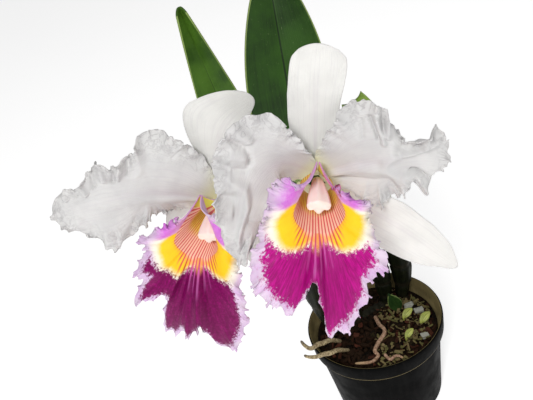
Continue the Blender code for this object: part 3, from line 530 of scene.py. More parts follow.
creeper = tube_piece("creeping_rhizome", RHIZOME, RHIZOME_RADII, (90, 28), skin,
                     lambda along, turn: 1 + 0.09 * np.sin(34 * along * np.pi), {"sheathed": 0.6})
fitted(creeper, "rhizome")

# Leaves: thick, leathery straps folded along the midrib, one on each of the three larger
# pseudobulbs and a young one in the mix. Green, waxy and finely grained along their length,
# paler at the margin, with a dark line of painted shade down the fold of the midrib. The feet
# of the three run a few millimetres into the heads of their pseudobulbs.


def bezier(points, along):
    """Place and direction on a cubic curve of four points."""
    first, second, third, last = (np.array(point, float) for point in points)
    t = np.asarray(along, float)[..., None]
    s = 1.0 - t
    place = s**3 * first + 3 * s * s * t * second + 3 * s * t * t * third + t**3 * last
    way = s * s * (second - first) + 2 * s * t * (third - second) + t * t * (last - third)
    return place, unit(3 * way)


def half_width(along, blade):
    """Half the width: from the base to full at the peak, then down to the tip's share of it."""
    rise = np.clip(along / blade["peak"], 0.0, 1.0)
    fall = np.clip((along - blade["peak"]) / (1.0 - blade["peak"]), 0.0, 1.0)
    swell = np.sin(rise * math.pi / 2) ** blade.get("swell", 1.3)
    narrow = 1.0 - (1.0 - blade["tip"]) * fall ** blade.get("taper", 2.0)
    return (blade["base"] + (blade["width"] - blade["base"]) * swell) * narrow


def line_distance(along, across, line, length, breadth=2.5):
    """Rough distance, in centimetres, of each place on a blade from a line drawn on it."""
    spot = np.stack([along * length, across * breadth], axis=-1)
    knots = np.array(line) * (length, breadth)
    nearest = np.full(along.shape, 1e9)
    for start, end in zip(knots[:-1], knots[1:]):
        way = end - start
        share = np.clip((spot - start) @ way / (way @ way), 0.0, 1.0)
        nearest = np.minimum(nearest, np.linalg.norm(spot - start - share[..., None] * way, axis=-1))
    return nearest


FINE_FOLDS = 14


def nearness(along, across):
    """How near each place on a blade is to its sides and its tip, 1 on either."""
    tipness = np.clip((along - 0.72) / 0.28, 0, 1)
    return np.clip((np.abs(across) ** 4 + tipness**4) ** 0.25, 0, 1)


def blade_places(blade, along, across):
    """Centimetre places on a blade: spine, twist, cup across, waves and frills at the edges.

    place = spine(a) + side sin(c w x)/c + normal ((1 - cos(c w x))/c + waves), where a runs
    from base to tip, x from edge to edge, w is the half width and c the cup. A crease adds
    h exp(-(d/b)^2) along a line drawn on the blade, d away from it. A frill of k folds adds
    height n^p (sin(k t + shift) normal + 0.6 cos(k t + shift) round the edge), where t is the
    direction from the blade's middle and n the nearness to the edge.
    """
    slid = along * (1.0 - blade["round"] * across**2 * along**3)
    centre, tangent = bezier(blade["spine"], slid)
    facing = np.array(blade.get("facing", (0.0, 0.0, 1.0)), float)
    normal = unit(facing - tangent * (tangent @ facing)[..., None])
    side = np.cross(tangent, normal)
    start, end = blade.get("twist", (0.0, 0.0))
    turn = np.radians(start + (end - start) * along)[..., None]
    normal, side = normal * np.cos(turn) + side * np.sin(turn), side * np.cos(turn) - normal * np.sin(turn)
    width = half_width(along, blade) if "width" in blade else np.zeros(along.shape)
    for key, mask in (("low_edge", across < 0), ("high_edge", across >= 0)):
        if key in blade:
            shares = through(blade[key], 400)[:, 0]
            width = np.where(mask, np.interp(along, np.linspace(0, 1, 400), shares), width)
    low, high = blade.get("cup", (0.0, 0.0))
    curl = np.where(across < 0, low, high) * (0.3 + 0.7 * along) + 1e-6
    reach = across * width
    sideways = np.sin(curl * reach) / curl
    lift = (1.0 - np.cos(curl * reach)) / curl
    height, waves, phase = blade.get("wave", (0.0, 1.0, 0.0))
    shift = np.where(across < 0, 0.37, 0.0)
    strength = np.abs(across) ** 3 * np.sin(along * math.pi * 0.5)
    lift = lift + height * strength * np.sin(2 * math.pi * (waves * along + phase + shift))
    lift = lift + blade.get("keel", 0.0) * np.abs(across)
    round_edge, ahead_edge = np.zeros(along.shape), np.zeros(along.shape)
    length = np.linalg.norm(np.subtract(blade["spine"][3], blade["spine"][0]))
    for rise, breadth, line in blade.get("creases", ()):
        lift = lift + rise * np.exp(-(line_distance(along, across, line, length) / breadth) ** 2)
    heading = np.arctan2(across * width, (along - 0.42) * length)
    near, rise = nearness(along, across), np.clip(along / 0.25, 0, 1)
    for fold_height, folds, shift, power in blade.get("frills", ()):
        phase = folds * heading + shift + 0.9 * np.sin(3.1 * heading + shift)
        phase = phase + 0.35 * np.sin(0.43 * folds * heading)
        amount = fold_height * near**power * rise
        swing = 0.6 * amount * np.cos(phase)
        lift = lift + amount * np.sin(phase)
        round_edge = round_edge + swing * np.cos(heading)
        ahead_edge = ahead_edge - swing * np.sin(heading)
        if folds > FINE_FOLDS:
            ragged = 0.35 * amount * np.sin(1.7 * phase)
            round_edge = round_edge + ragged * np.sin(heading)
            ahead_edge = ahead_edge + ragged * np.cos(heading)
    return (centre + side * (sideways + round_edge)[..., None] + tangent * ahead_edge[..., None]
            + normal * lift[..., None])


class Stance:
    """Axes of a bloom: right and up as a viewer before it sees them, and out of its face."""

    def __init__(self, origin, face, up):
        self.origin = np.array(origin, float)
        self.out = unit(face)
        self.right = unit(np.cross(self.out, up)) * -1.0
        self.up = np.cross(self.out, self.right)

    def world(self, places):
        """World places of centimetre places along right, up and out."""
        axes = np.stack([self.right, self.up, self.out])
        return self.origin + CM * places @ axes


UPRIGHT = Stance((0.0, 0.0, 0.0), (0.0, -1.0, 0.0), (0.0, 0.0, 1.0))


def blade_piece(name, node, stance, blade, steps, finish, wall):
    """One blade, mapped from a square grid, riding on the plant and standing for its node."""
    along, across = np.meshgrid(np.linspace(0, 1, steps[0]), np.linspace(-1, 1, steps[1]), indexing="ij")
    places = stance.world(blade_places(blade, along, across))
    values = {"near_edge": nearness(along, across), "along": along, "across": across}
    return fitted(grid_piece(name, places, finish, wall=wall, values=values), node)


LEAVES = {
    "centre_leaf": dict(
        spine=[(-2.95, 23.6, 2.84), (-2.6, 28.5, 2.5), (-1.9, 35.0, 1.4), (-1.1, 40.8, -0.5)],
        width=2.9, base=0.55, peak=0.50, tip=0.30, round=0.05, taper=2.0,
        cup=(0.05, 0.05), keel=0.75, wave=(0.05, 1.5, 0.2)),
    "left_leaf": dict(
        spine=[(-6.25, 23.6, 1.08), (-6.25, 28.0, 1.6), (-6.9, 34.0, 0.8), (-7.4, 39.6, -0.9)],
        width=2.1, base=0.45, peak=0.34, tip=0.16, round=0.03, taper=1.15,
        cup=(0.10, 0.10), keel=0.60, wave=(0.04, 1.5, 0.5)),
    "back_leaf": dict(
        spine=[(3.5, 18.6, -2.17), (3.7, 22.5, -2.2), (3.3, 26.2, -1.4), (2.3, 29.7, 0.3)],
        width=1.6, base=0.45, peak=0.55, tip=0.50, round=-0.06, taper=2.2,
        cup=(0.08, 0.08), keel=0.25, wave=(0.08, 1.5, 0.2)),
    "young_leaf": dict(
        spine=[(2.5, 7.4, -1.2), (2.45, 8.2, -1.1), (2.2, 9.0, -1.0), (1.9, 9.9, -1.0)],
        width=0.62, base=0.20, peak=0.50, tip=0.15, round=0.05, taper=1.8,
        cup=(0.8, 0.8), keel=0.1, wave=(0.0, 1.0, 0.0))}
LEAF_TONES = {
    "centre_leaf": ((18, 44, 4), (40, 76, 12)),
    "left_leaf": ((32, 62, 10), (72, 108, 30)),
    "back_leaf": ((66, 100, 20), (128, 156, 56)),
    "young_leaf": ((24, 50, 20), (58, 92, 40))}


def leaf_finish(name, dark, light):
    """Waxy green: long grain, a pale band down the midrib with a dark line of painted shade in its fold,
    pale margin and flecks.
    """
    green = Finish(name + "_green", Roughness=0.42, Specular_IOR_Level=0.25)
    long_grain = green.grain(green.way((55.0, 2.5, 1.0)), 1.0, detail=4.0, harsh=0.6)
    cloud = green.grain(green.place(), 45.0, detail=3.0)
    fleck = green.grain(green.place(), 900.0, detail=2.0)
    side = green.size(green.value("across"))
    base = green.over(dark, light, cloud, 0.3, 0.7)
    for colour, value, low, high, most in (
            (light, long_grain, 0.35, 0.7, 0.45), (light, side, 0.12, 0.03, 0.6),
            # The near-black line at the very midrib is painted shade in the fold.
            ((10, 26, 6), side, 0.035, 0.012, 0.9), ((150, 170, 96), side, 0.965, 1.0, 0.7),
            ((140, 160, 110), fleck, 0.68, 0.78, 0.25)):
        base = green.over(base, colour, value, low, high, most)
    green.colour(base)
    green.rough(green.grade(cloud, 0.3, 0.7, 0.34, 0.5))
    green.relief(green.plus(long_grain, green.times(fleck, 0.3)), 0.25, 0.0006)
    return green


for name, blade in LEAVES.items():
    steps, wall = ((110, 36), 0.0014) if name != "young_leaf" else ((40, 20), 0.0008)
    finish = leaf_finish(name, *LEAF_TONES[name])
    blade_piece(name + "_blade", name, UPRIGHT, blade, steps, finish, wall)

# Roots: round, thick and coated in spongy velamen, pinkish tan where they creep over the
# mix, and straw-coloured with a grey tip where two of them hang over the rim.

ROOTS = {
    "long_root": ([(0.3, 1.2, 7.6), (0.3, -0.2, 7.95), (0.45, -1.4, 8.0), (-0.5, -2.4, 7.95),
                   (-1.0, -3.1, 7.9), (-0.9, -3.7, 7.9), (-1.6, -4.1, 7.85), (-3.0, -3.6, 7.75)],
                  [0.0016, 0.0017, 0.0017, 0.0018, 0.0016, 0.0015, 0.0014, 0.0010]),
    "short_root": ([(-0.35, -3.7, 7.85), (-0.1, -4.5, 7.9), (0.5, -4.35, 7.9), (1.0, -4.65, 7.75)],
                   [0.0012, 0.0014, 0.0012, 0.0009]),
    "upper_rim_root": ([(-3.4, -0.6, 7.7), (-4.2, -1.4, 9.0), (-5.3, -1.8, 9.4), (-6.3, -1.8, 9.3),
                        (-6.8, -0.9, 9.6)],
                       [0.0017, 0.0020, 0.0021, 0.0018, 0.0012]),
    "lower_rim_root": ([(-3.0, -1.9, 7.7), (-3.9, -2.8, 9.0), (-5.0, -3.1, 9.35), (-6.3, -2.8, 9.2),
                        (-6.9, -2.4, 9.3)],
                       [0.0015, 0.0019, 0.0020, 0.0016, 0.0011])}


def root_finish(name, dark, light, tip):
    """Velamen: mottled along the root, with dark cracks, and its growing tip another colour."""
    velamen = Finish(name, Roughness=0.7)
    mottling = velamen.grain(velamen.place(), 600.0, detail=5.0, harsh=0.65)
    rings = velamen.grain(velamen.way((2.0, 40.0, 1.0)), 1.0, detail=2.0)
    coat = velamen.over(velamen.over(dark, light, mottling, 0.3, 0.7), dark, rings, 0.4, 0.3, 0.5)
    velamen.colour(velamen.over(coat, tip, velamen.value("along"), 0.86, 0.97, 0.8))
    velamen.relief(velamen.plus(mottling, rings), 0.6, 0.0005)
    return velamen


def knobbly(along, turn):
    """Slow swellings along a root, and shallower ones that wind round it."""
    return 1 + 0.10 * np.sin(23 * along + 2 * np.sin(turn)) + 0.05 * np.sin(3 * turn + 31 * along)


creeping = root_finish("creeping_root", (120, 84, 58), (206, 168, 140), (190, 160, 120))
hanging = root_finish("hanging_root", (108, 88, 58), (196, 178, 138), (112, 106, 96))
for name, (knots, radii) in ROOTS.items():
    rows = 120 if name == "long_root" else 70
    finish = hanging if "rim" in name else creeping
    fitted(tube_piece(name + "_strand", knots, radii, (rows, 22), finish, knobbly,
                      {"along": np.linspace(0, 1, rows)[:, None]}), name)

# Seedlings: three tiny plants self-sown in the mix, each one spoon-shaped, yellow-green leaf
# on a short stalk that stands in the bark.

spoon = Finish("seedling_green", Roughness=0.5, Subsurface_Weight=0.1,
               Subsurface_Radius=(0.001, 0.002, 0.0004))
vein = spoon.grain(spoon.way((16.0, 2.0, 1.0)), 1.0, detail=3.0)
speck = spoon.grain(spoon.place(), 700.0, detail=3.0)
lime_green = spoon.over((128, 140, 44), (200, 206, 108), vein, 0.35, 0.65)
spoon.colour(spoon.over(lime_green, (110, 100, 50), speck, 0.6, 0.75, 0.5))
spoon.relief(vein, 0.4, 0.0004)
SEEDLINGS = [((2.5, -0.3), 0.75, 20.0), ((3.7, -1.5), 0.80, 25.0), ((1.9, -2.7), 0.65, 25.0)]
for number, ((x, y), size, heading) in enumerate(SEEDLINGS, 1):
    right, back = size * math.cos(math.radians(heading)), size * math.sin(math.radians(heading))
    low = SOIL / CM - 0.25
    blade = dict(spine=[(x, low, -y), (x, low + 0.7, -y), (x + 0.3 * right, low + 1.0, -y - 0.3 * back),
                        (x + 1.5 * right, low + 1.05, -y - 1.5 * back)],
                 width=0.45 * size, base=0.05, peak=0.75, tip=0.4, round=0.05, swell=2.5,
                 cup=(0.5, 0.5), facing=(0.3, 1.0, 0.6), wave=(0.03, 2.5, 0.1))
    node = f"seedling_{number}"
    blade_piece(f"seedling_leaf_{number}", node, UPRIGHT, blade, (44, 22), spoon, 0.0006)

# The flower stem: one green stalk out of the flowering pseudobulb that forks into the stalks
# of the two blooms. A thin papery sheath, dried to tan, still stands round its foot.

FORK = (-5.4, -9.2, 30.6)
STALKS = [
    ([(-2.85, -3.25, 24.1), (-3.0, -4.5, 26.8), (-4.0, -6.9, 29.3), FORK,
      (-4.7, -11.2, 32.0), (-3.5, -13.0, 33.3), (-2.97, -14.62, 33.6)],
     [0.0026, 0.0028, 0.0028, 0.0028, 0.0024, 0.0026, 0.0036]),
    ([(-5.2, -9.0, 30.5), (-6.4, -9.6, 31.2), (-7.4, -10.4, 31.7), (-8.03, -11.26, 32.03)],
     [0.0020, 0.0024, 0.0026, 0.0036])]
fresh = Finish("stem_green", Roughness=0.48)
streaks = fresh.grain(fresh.place((1.0, 1.0, 0.25)), 500.0, detail=4.0)
green = fresh.over((84, 112, 42), (140, 160, 84), streaks, 0.3, 0.7)
fresh.colour(fresh.over(green, (120, 80, 70), fresh.grain(fresh.place(), 900.0), 0.62, 0.72, 0.4))
fresh.relief(streaks, 0.3, 0.0004)
main_stalk, side_stalk = (
    tube_piece("flower_stalk", knots, radii, (100, 26), fresh,
               lambda along, turn: 1 + 0.03 * np.sin(5 * turn)) for knots, radii in STALKS)
carved(main_stalk, side_stalk, "UNION")
fitted(main_stalk, "flower_stem")

paper = Finish("dry_sheath", Roughness=0.6, Subsurface_Weight=0.08,
               Subsurface_Radius=(0.001, 0.0008, 0.0004))
fibre = paper.grain(paper.way((60.0, 3.0, 1.0)), 1.0, detail=4.0)
tan = paper.over((112, 90, 50), (196, 172, 118), fibre, 0.3, 0.7)
paper.colour(paper.over(tan, (120, 124, 60), paper.grain(paper.place(), 200.0), 0.55, 0.7, 0.5))
paper.relief(fibre, 0.5, 0.0004)
SHEATH = dict(
    spine=[(-2.85, 24.15, 3.85), (-2.9, 25.4, 4.5), (-3.1, 26.6, 5.5), (-3.5, 27.6, 6.7)],
    width=0.75, base=0.62, peak=0.4, tip=0.3, round=0.1, taper=1.6, cup=(2.2, 2.2), facing=(0.0, 0.4, -1.0))
blade_piece("sheath_paper", "sheath", UPRIGHT, SHEATH, (50, 40), paper, 0.0006)

# Sepals: the three outer leaves of each bloom, behind the petals. Smooth, firm, white with a
# breath of yellow-green where they join, lightly arched, with fine veins running lengthwise.

FRONT = Stance((-0.0310, -0.1512, 0.3357), (-0.177, -0.984, -0.032), (0.253, -0.078, 0.964))
SIDE = Stance((-0.0834, -0.1188, 0.3195), (-0.42, -0.90, -0.18), (0.11, -0.22, 0.97))
PETAL_WALL = 0.0006


def petal_finish(name, veins, vein_share, tint_reach, crumple, low, high):
    """White petal: a fan of veins, fine folds crowding at the margin with grey painted shade in them, a
    green tint at the foot.
    """
    white = Finish(name, Roughness=0.55, Subsurface_Weight=0.10, Subsurface_Radius=(0.003, 0.0028, 0.0026),
                   Sheen_Weight=0.06, Sheen_Roughness=0.4, Specular_IOR_Level=0.3)
    along, near = white.value("along"), white.value("near_edge")
    fan = white.grain(white.way((veins, 2.2, 1.0)), 1.0, detail=3.0, harsh=0.55, warp=0.15)
    fine = white.grain(white.way((2.6 * veins, 7.0, 1.0)), 1.0, detail=3.0, harsh=0.6)
    sparkle = white.grain(white.place(), 2600.0, detail=2.0)
    base = white.over(low, high, white.grain(white.place(), 75.0, detail=3.0), 0.3, 0.7)
    base = white.over(base, (190, 184, 190), fan, 0.50, 0.36, vein_share)
    base = white.over(base, (194, 190, 196), fine, 0.48, 0.38, 0.7 * vein_share)
    side = white.size(white.value("across"))
    rib = white.times(white.grade(side, 0.16, 0.0), white.grade(along, 0.95, 0.1))
    base = white.blend(white.times(rib, 0.22), base, (196, 180, 194))
    base = white.over(base, (224, 222, 220), near, 0.90, 1.0, 0.35)
    base = white.over(base, (224, 224, 168), along, tint_reach, 0.0, 0.75)
    crinkle = white.grain(white.place(), 150.0, detail=4.0, harsh=0.6, warp=1.2)
    shaded_crease = white.grade(white.size(white.plus(crinkle, -0.5)), 0.045, 0.0)
    shaded_crease = white.times(shaded_crease, white.grade(near, 0.45, 0.95, 0.0, crumple))
    # Grey in the fine creases near the margin is painted shade.
    white.colour(white.blend(white.times(shaded_crease, 0.40), base, (158, 154, 156)))
    height = white.plus(white.times(fan, 0.8), white.times(sparkle, 0.2))
    height = white.plus(height, white.times(shaded_crease, -1.6))
    white.relief(white.plus(height, white.times(fine, 0.7)), 0.4, 0.0006)
    white.rough(white.grade(sparkle, 0.3, 0.7, 0.46, 0.62))
    return white


sepal_white = petal_finish("sepal_white", veins=40.0, vein_share=0.14, tint_reach=0.22, crumple=0.12,
                           low=(222, 221, 217), high=(231, 230, 226))
LATERAL = dict(width=1.25, base=0.45, peak=0.50, tip=0.18, round=0.06, taper=1.9,
               cup=(-0.10, -0.10), wave=(0.04, 1.2, 0.3))
FRONT_SEPALS = {
    "dorsal_sepal": dict(
        spine=[(0.0, 0.05, -0.1), (-0.15, 2.6, -0.3), (-0.2, 4.7, -0.5), (-0.1, 6.75, -0.9)],
        low_edge=[0.45, 0.78, 0.95, 1.03, 1.13, 1.21, 1.27, 1.33, 1.34, 1.35, 1.37, 1.35, 1.34, 1.31,
                  1.27, 1.17, 0.9],
        high_edge=[0.45, 0.54, 0.67, 0.79, 0.92, 1.03, 1.11, 1.2, 1.18, 1.21, 1.27, 1.33, 1.38, 1.41,
                   1.42, 1.34, 1.0],
        round=0.05, cup=(-0.15, -0.15), wave=(0.05, 1.5, 0.1)),
    "right_sepal": dict(
        spine=[(0.55, -0.35, -0.1), (2.6, -1.7, 0.2), (5.1, -2.9, 0.6), (7.7, -5.0, 1.1)],
        low_edge=[0.45, 0.5, 0.55, 0.65, 0.82, 1.0, 1.1, 1.18, 1.21, 1.21, 1.17, 1.11, 1.06, 0.95, 0.86,
                  0.75, 0.5],
        high_edge=[0.45, 0.7, 1.02, 1.23, 1.45, 1.65, 1.76, 1.85, 1.8, 1.73, 1.69, 1.63, 1.56, 1.45,
                   1.31, 1.1, 0.7],
        round=0.08, cup=(-0.10, -0.10), wave=(0.04, 1.2, 0.3)),
    "left_sepal": dict(
        LATERAL, spine=[(-0.45, -0.5, -0.1), (-1.2, -2.6, -0.3), (-2.0, -5.0, -0.5), (-2.1, -7.4, -0.4)])}
SIDE_SEPALS = {
    "dorsal_sepal": dict(
        spine=[(0.0, 0.05, -0.1), (-0.2, 2.8, -0.5), (0.4, 5.4, -0.8), (2.1, 5.2, -2.6)],
        low_edge=[0.45, 0.47, 0.5, 0.55, 0.65, 0.8, 1.1, 1.44, 1.76, 2.06, 2.27, 2.25, 1.97, 1.72, 1.48,
                  1.25, 1.0],
        high_edge=[0.45, 0.5, 0.6, 0.72, 0.88, 1.07, 1.26, 1.33, 1.35, 1.38, 1.37, 1.34, 1.26, 1.2,
                   1.12, 1.05, 0.95],
        round=0.10, cup=(-0.15, -0.15), wave=(0.05, 1.5, 0.1)),
    "right_sepal": dict(
        LATERAL, spine=[(0.45, -0.5, -0.1), (1.2, -2.6, -0.3), (1.8, -5.0, -0.5), (1.9, -7.2, -0.4)]),
    "left_sepal": dict(
        LATERAL, spine=[(-0.55, -0.35, -0.1), (-2.2, -1.6, -0.3), (-3.4, -2.9, -0.6), (-3.4, -4.9, -0.8)])}
SEPAL_FRILLS = [(0.03, 9.0, 0.4, 4)]
for prefix, stance, sepals in (("front", FRONT, FRONT_SEPALS), ("side", SIDE, SIDE_SEPALS)):
    for name, blade in sepals.items():
        blade_piece(f"{prefix}_{name}_blade", f"{prefix}_{name}", stance, dict(blade, frills=SEPAL_FRILLS),
                    (90, 44), sepal_white, PETAL_WALL)

# Petals: the two broad inner leaves of each bloom, thin as tissue, in front of the sepals.
# White, veined from the base, creased, and gathered into ruffles that crowd towards the margin.

petal_white = petal_finish("petal_white", veins=90.0, vein_share=0.22, tint_reach=0.15, crumple=1.0,
                           low=(204, 203, 202), high=(216, 215, 213))
FRONT_PETALS = {
    "right_petal": dict(
        spine=[(0.15, 0.25, 0.15), (2.2, 1.5, 0.8), (4.3, 2.0, 1.1), (6.3, 1.7, 0.9)],
        low_edge=[0.45, 1.27, 1.69, 2.13, 2.58, 2.94, 3.12, 3.14, 3.08, 2.6, 1.1, 0.85, 0.97, 1.23, 1.3,
                  1.4, 1.2],
        high_edge=[0.45, 1.02, 1.42, 1.92, 2.29, 2.51, 2.63, 2.59, 2.48, 2.29, 2.04, 1.76, 1.56, 1.65,
                   1.77, 1.7, 1.3],
        round=0.10,
        creases=[
            (0.26, 0.26, [(0.06, 0.10), (0.29, 0.09), (0.49, 0.24), (0.74, 0.85)]),
            (-0.22, 0.22, [(0.12, 0.36), (0.30, 0.40), (0.50, 0.50), (0.60, 0.95)]),
            (0.18, 0.30, [(0.13, 0.78), (0.40, 0.80)]),
            (0.26, 0.30, [(0.50, 0.05), (0.71, -0.32), (0.89, -0.56)]),
            (-0.22, 0.20, [(0.65, -0.75), (0.60, -0.15)]), (-0.20, 0.18, [(0.79, -1.0), (0.73, -0.44)]),
            (0.20, 0.16, [(0.86, -1.0), (0.80, -0.50)]), (0.24, 0.18, [(0.64, 0.45), (0.94, 1.0)]),
            (-0.22, 0.14, [(0.70, 0.40), (0.98, 0.80)]),
            (-0.09, 0.07, [(0.40, -0.72), (0.38, -0.44)]),
            (-0.24, 0.10, [(0.45, -0.75), (0.48, -0.38)]), (0.24, 0.10, [(0.49, -0.75), (0.51, -0.30)]),
            (-0.26, 0.11, [(0.54, -1.0), (0.52, -0.55)]), (0.28, 0.12, [(0.59, -1.0), (0.54, -0.45)])],
        cup=(-0.10, 0.05), wave=(0.42, 3.4, 0.15),
        frills=[(0.20, 9.0, 0.3, 3), (0.16, 27.0, 1.2, 6), (0.08, 57.0, 0.6, 10)]),
    "left_petal": dict(
        spine=[(-0.15, 0.25, 0.15), (-1.9, 2.3, 0.8), (-3.5, 1.7, 1.5), (-3.9, -4.0, 2.2)],
        low_edge=[0.45, 0.85, 1.2, 1.5, 1.75, 1.9, 1.95, 1.9, 1.82, 1.75, 1.63, 1.47, 1.33, 1.2, 1.06,
                  1.03, 0.9],
        high_edge=[0.45, 0.6, 0.8, 1.05, 1.4, 1.98, 2.72, 3.1, 3.11, 2.8, 2.45, 2.08, 1.8, 1.59, 1.4,
                   1.24, 1.0],
        round=0.10,
        creases=[
            (-0.26, 0.11, [(0.51, 0.95), (0.49, 0.6)]), (0.24, 0.11, [(0.47, 0.95), (0.46, 0.6)]),
            (-0.22, 0.12, [(0.48, 0.53), (0.52, 0.31)]), (0.32, 0.16, [(0.56, 0.70), (0.52, 0.44)]),
            (-0.24, 0.11, [(0.60, 0.55), (0.57, 0.31)]), (-0.28, 0.14, [(0.62, 1.0), (0.60, 0.65)]),
            (0.24, 0.14, [(0.67, 1.0), (0.65, 0.60)]),
            (0.26, 0.20, [(0.66, 0.50), (0.67, 0.19), (0.76, 0.0), (0.88, 0.1)]),
            (-0.24, 0.15, [(0.77, 1.0), (0.73, 0.40)]), (0.22, 0.15, [(0.84, 1.0), (0.80, 0.45)]),
            (-0.14, 0.07, [(0.82, -0.14), (0.86, -0.81)]),
            (0.22, 0.14, [(0.95, 0.70), (0.89, 0.15)]), (-0.22, 0.13, [(1.0, 0.36), (0.93, -0.19)]),
            (0.22, 0.13, [(1.0, -0.25), (0.92, -0.50)]), (-0.20, 0.12, [(1.0, -0.6), (0.93, -0.85)])],
        cup=(-0.06, 0.12), wave=(0.40, 3.2, 0.55),
        frills=[(0.20, 10.0, 1.3, 3), (0.16, 29.0, 0.2, 6), (0.08, 59.0, 1.6, 10)])}
SIDE_PETALS = {
    "right_petal": dict(
        spine=[(0.15, 0.25, 0.15), (1.9, 0.9, 1.0), (3.0, 1.6, 0.9), (4.0, 2.6, 0.3)],
        width=1.9, base=0.45, peak=0.50, tip=0.62, round=0.16,
        cup=(-0.10, -0.10), wave=(0.12, 2.4, 0.15),
        frills=[(0.14, 9.0, 0.9, 3), (0.08, 22.0, 0.2, 7)]),
    "left_petal": dict(
        spine=[(-0.15, 0.25, 0.15), (-2.6, 1.7, 0.8), (-5.4, 2.2, 1.6), (-9.0, 0.9, 2.6)],
        low_edge=[0.45, 0.6, 0.8, 0.98, 1.16, 1.33, 1.49, 1.7, 2.07, 2.6, 3.0, 3.25, 3.35, 3.3, 3.1,
                  2.6, 1.8],
        high_edge=[0.45, 1.6, 2.3, 2.9, 3.33, 3.6, 3.59, 3.4, 2.44, 2.06, 1.72, 2.05, 1.58, 1.18, 1.0,
                   1.0, 0.9],
        twist=(10.0, 20.0), round=0.10,
        creases=[
            (0.16, 0.45, [(0.05, -0.10), (0.34, -0.32), (0.58, -0.12), (0.81, 0.0)]),
            (0.14, 0.30, [(0.49, 1.0), (0.47, 0.48)]), (-0.10, 0.22, [(0.41, 1.0), (0.42, 0.6)]),
            (-0.26, 0.16, [(0.52, 1.0), (0.53, 0.55)]), (0.28, 0.16, [(0.56, 1.0), (0.59, 0.55)]),
            (-0.26, 0.14, [(0.61, 1.0), (0.62, 0.45)]), (0.28, 0.15, [(0.69, 1.0), (0.67, 0.50)]),
            (-0.24, 0.14, [(0.75, 1.0), (0.73, 0.40)]), (0.26, 0.14, [(0.83, 1.0), (0.78, 0.30)]),
            (-0.24, 0.14, [(0.90, 1.0), (0.84, 0.40)]), (0.24, 0.14, [(0.97, 1.0), (0.90, 0.45)]),
            (0.16, 0.22, [(0.99, -0.75), (0.88, -0.30)]), (-0.16, 0.20, [(0.95, -1.0), (0.83, -0.50)]),
            (0.16, 0.20, [(0.87, -1.0), (0.78, -0.65)]), (-0.14, 0.18, [(0.74, -1.0), (0.72, -0.7)]),
            (-0.07, 0.07, [(0.26, 0.85), (0.30, 0.64)])],
        cup=(-0.06, -0.06), wave=(0.38, 3.3, 0.4),
        frills=[(0.20, 9.0, 2.1, 3), (0.16, 28.0, 1.1, 6), (0.08, 61.0, 0.1, 10)])}
for prefix, stance, petals in (("front", FRONT, FRONT_PETALS), ("side", SIDE, SIDE_PETALS)):
    for name, blade in petals.items():
        blade_piece(f"{prefix}_{name}_blade", f"{prefix}_{name}", stance, blade,
                    (150, 130), petal_white, PETAL_WALL)

# Lips: each bloom's broad lower petal, rolled into a tube round the column and flaring into a
# frilled skirt, cleft below. Magenta with a lavender-white hem, yellow eyes and veined throat.


def lip_places(lip, along, across):
    """Centimetre places on a lip: a tube about the column that flares into a frilled skirt.

    place = middle + radius (sin f, -cos f) and a depth, where f is the angle from straight
    down. The tube's mouth is nearest the viewer below and runs back to the foot of the
    column above, so that its two sides, pinched together, meet there in a point. From the
    mouth the radius grows to the margin's, while the depth moves out and rolls back. Frills
    near the margin move it in and out of the face, round the skirt and along the radius.
    """
    tube = np.clip(along / lip["throat"], 0.0, 1.0)
    skirt = np.clip((along - lip["throat"]) / (1.0 - lip["throat"]), 0.0, 1.0)
    spread = lip["shut"] + (lip["open"] - lip["shut"]) * np.sin(tube * math.pi / 2)
    angle = across * np.radians(spread + (lip["lobe"] - lip["open"]) * skirt)
    off = np.degrees(np.abs(angle))
    climb = np.clip((off - lip["level"]) / (lip["open"] - lip["level"]), 0.0, 1.0)
    above = climb * climb * (3.0 - 2.0 * climb)
    mouth = lip["mouth"] + lip["peak"] * above
    deep = lip["deep"] - lip["back"] * above
    hem_depth = lip["deep"] - lip["lobe_back"] * above - lip["roll"]
    below = np.clip(np.cos(angle), 0.0, 1.0) ** lip["fullness"]
    hem_depth = hem_depth + lip["side_out"] + (lip["low_out"] - lip["side_out"]) * below
    stations = np.linspace(-lip["lobe"], lip["lobe"], len(lip["margin"]))
    margin = np.interp(np.degrees(angle), stations, lip["margin"])
    inner = lip["start"] + (mouth - lip["start"]) * tube**1.5
    radius = inner + (margin - mouth) * skirt**1.15
    wave = np.sin(lip["waves"] * angle + lip["phase"]) * skirt**2
    radius = radius + lip["scallop"] * wave
    rolled = lip["roll"] * (np.sin(skirt * math.pi / 2) - skirt**3)
    depth = lip["near"] + (deep - lip["near"]) * tube
    depth = depth + (hem_depth - deep) * np.sin(skirt * math.pi / 2) + rolled + lip["frill"] * wave
    swing = np.zeros(along.shape)
    for height, folds, shift, power in lip["frills"]:
        phase = folds * angle + shift + 0.8 * np.sin(4.3 * angle + shift)
        phase = phase + 0.3 * np.sin(0.37 * folds * angle)
        amount = height * skirt**power
        depth = depth + amount * np.sin(phase)
        swing = swing + 0.6 * amount * np.cos(phase)
        radius = radius + 0.45 * amount * np.sin(1.63 * phase + 1.0)
    pinch = 1.0 - lip["pinch"] * above * (1.0 - skirt)
    right = lip["lean"] * tube + radius * np.sin(angle) * pinch + swing * np.cos(angle)
    up = lip["rise"] - lip["droop"] * tube - radius * np.cos(angle) + swing * np.sin(angle)
    return np.stack([right, up, depth], axis=-1), np.degrees(angle), radius - inner, tube, margin - inner


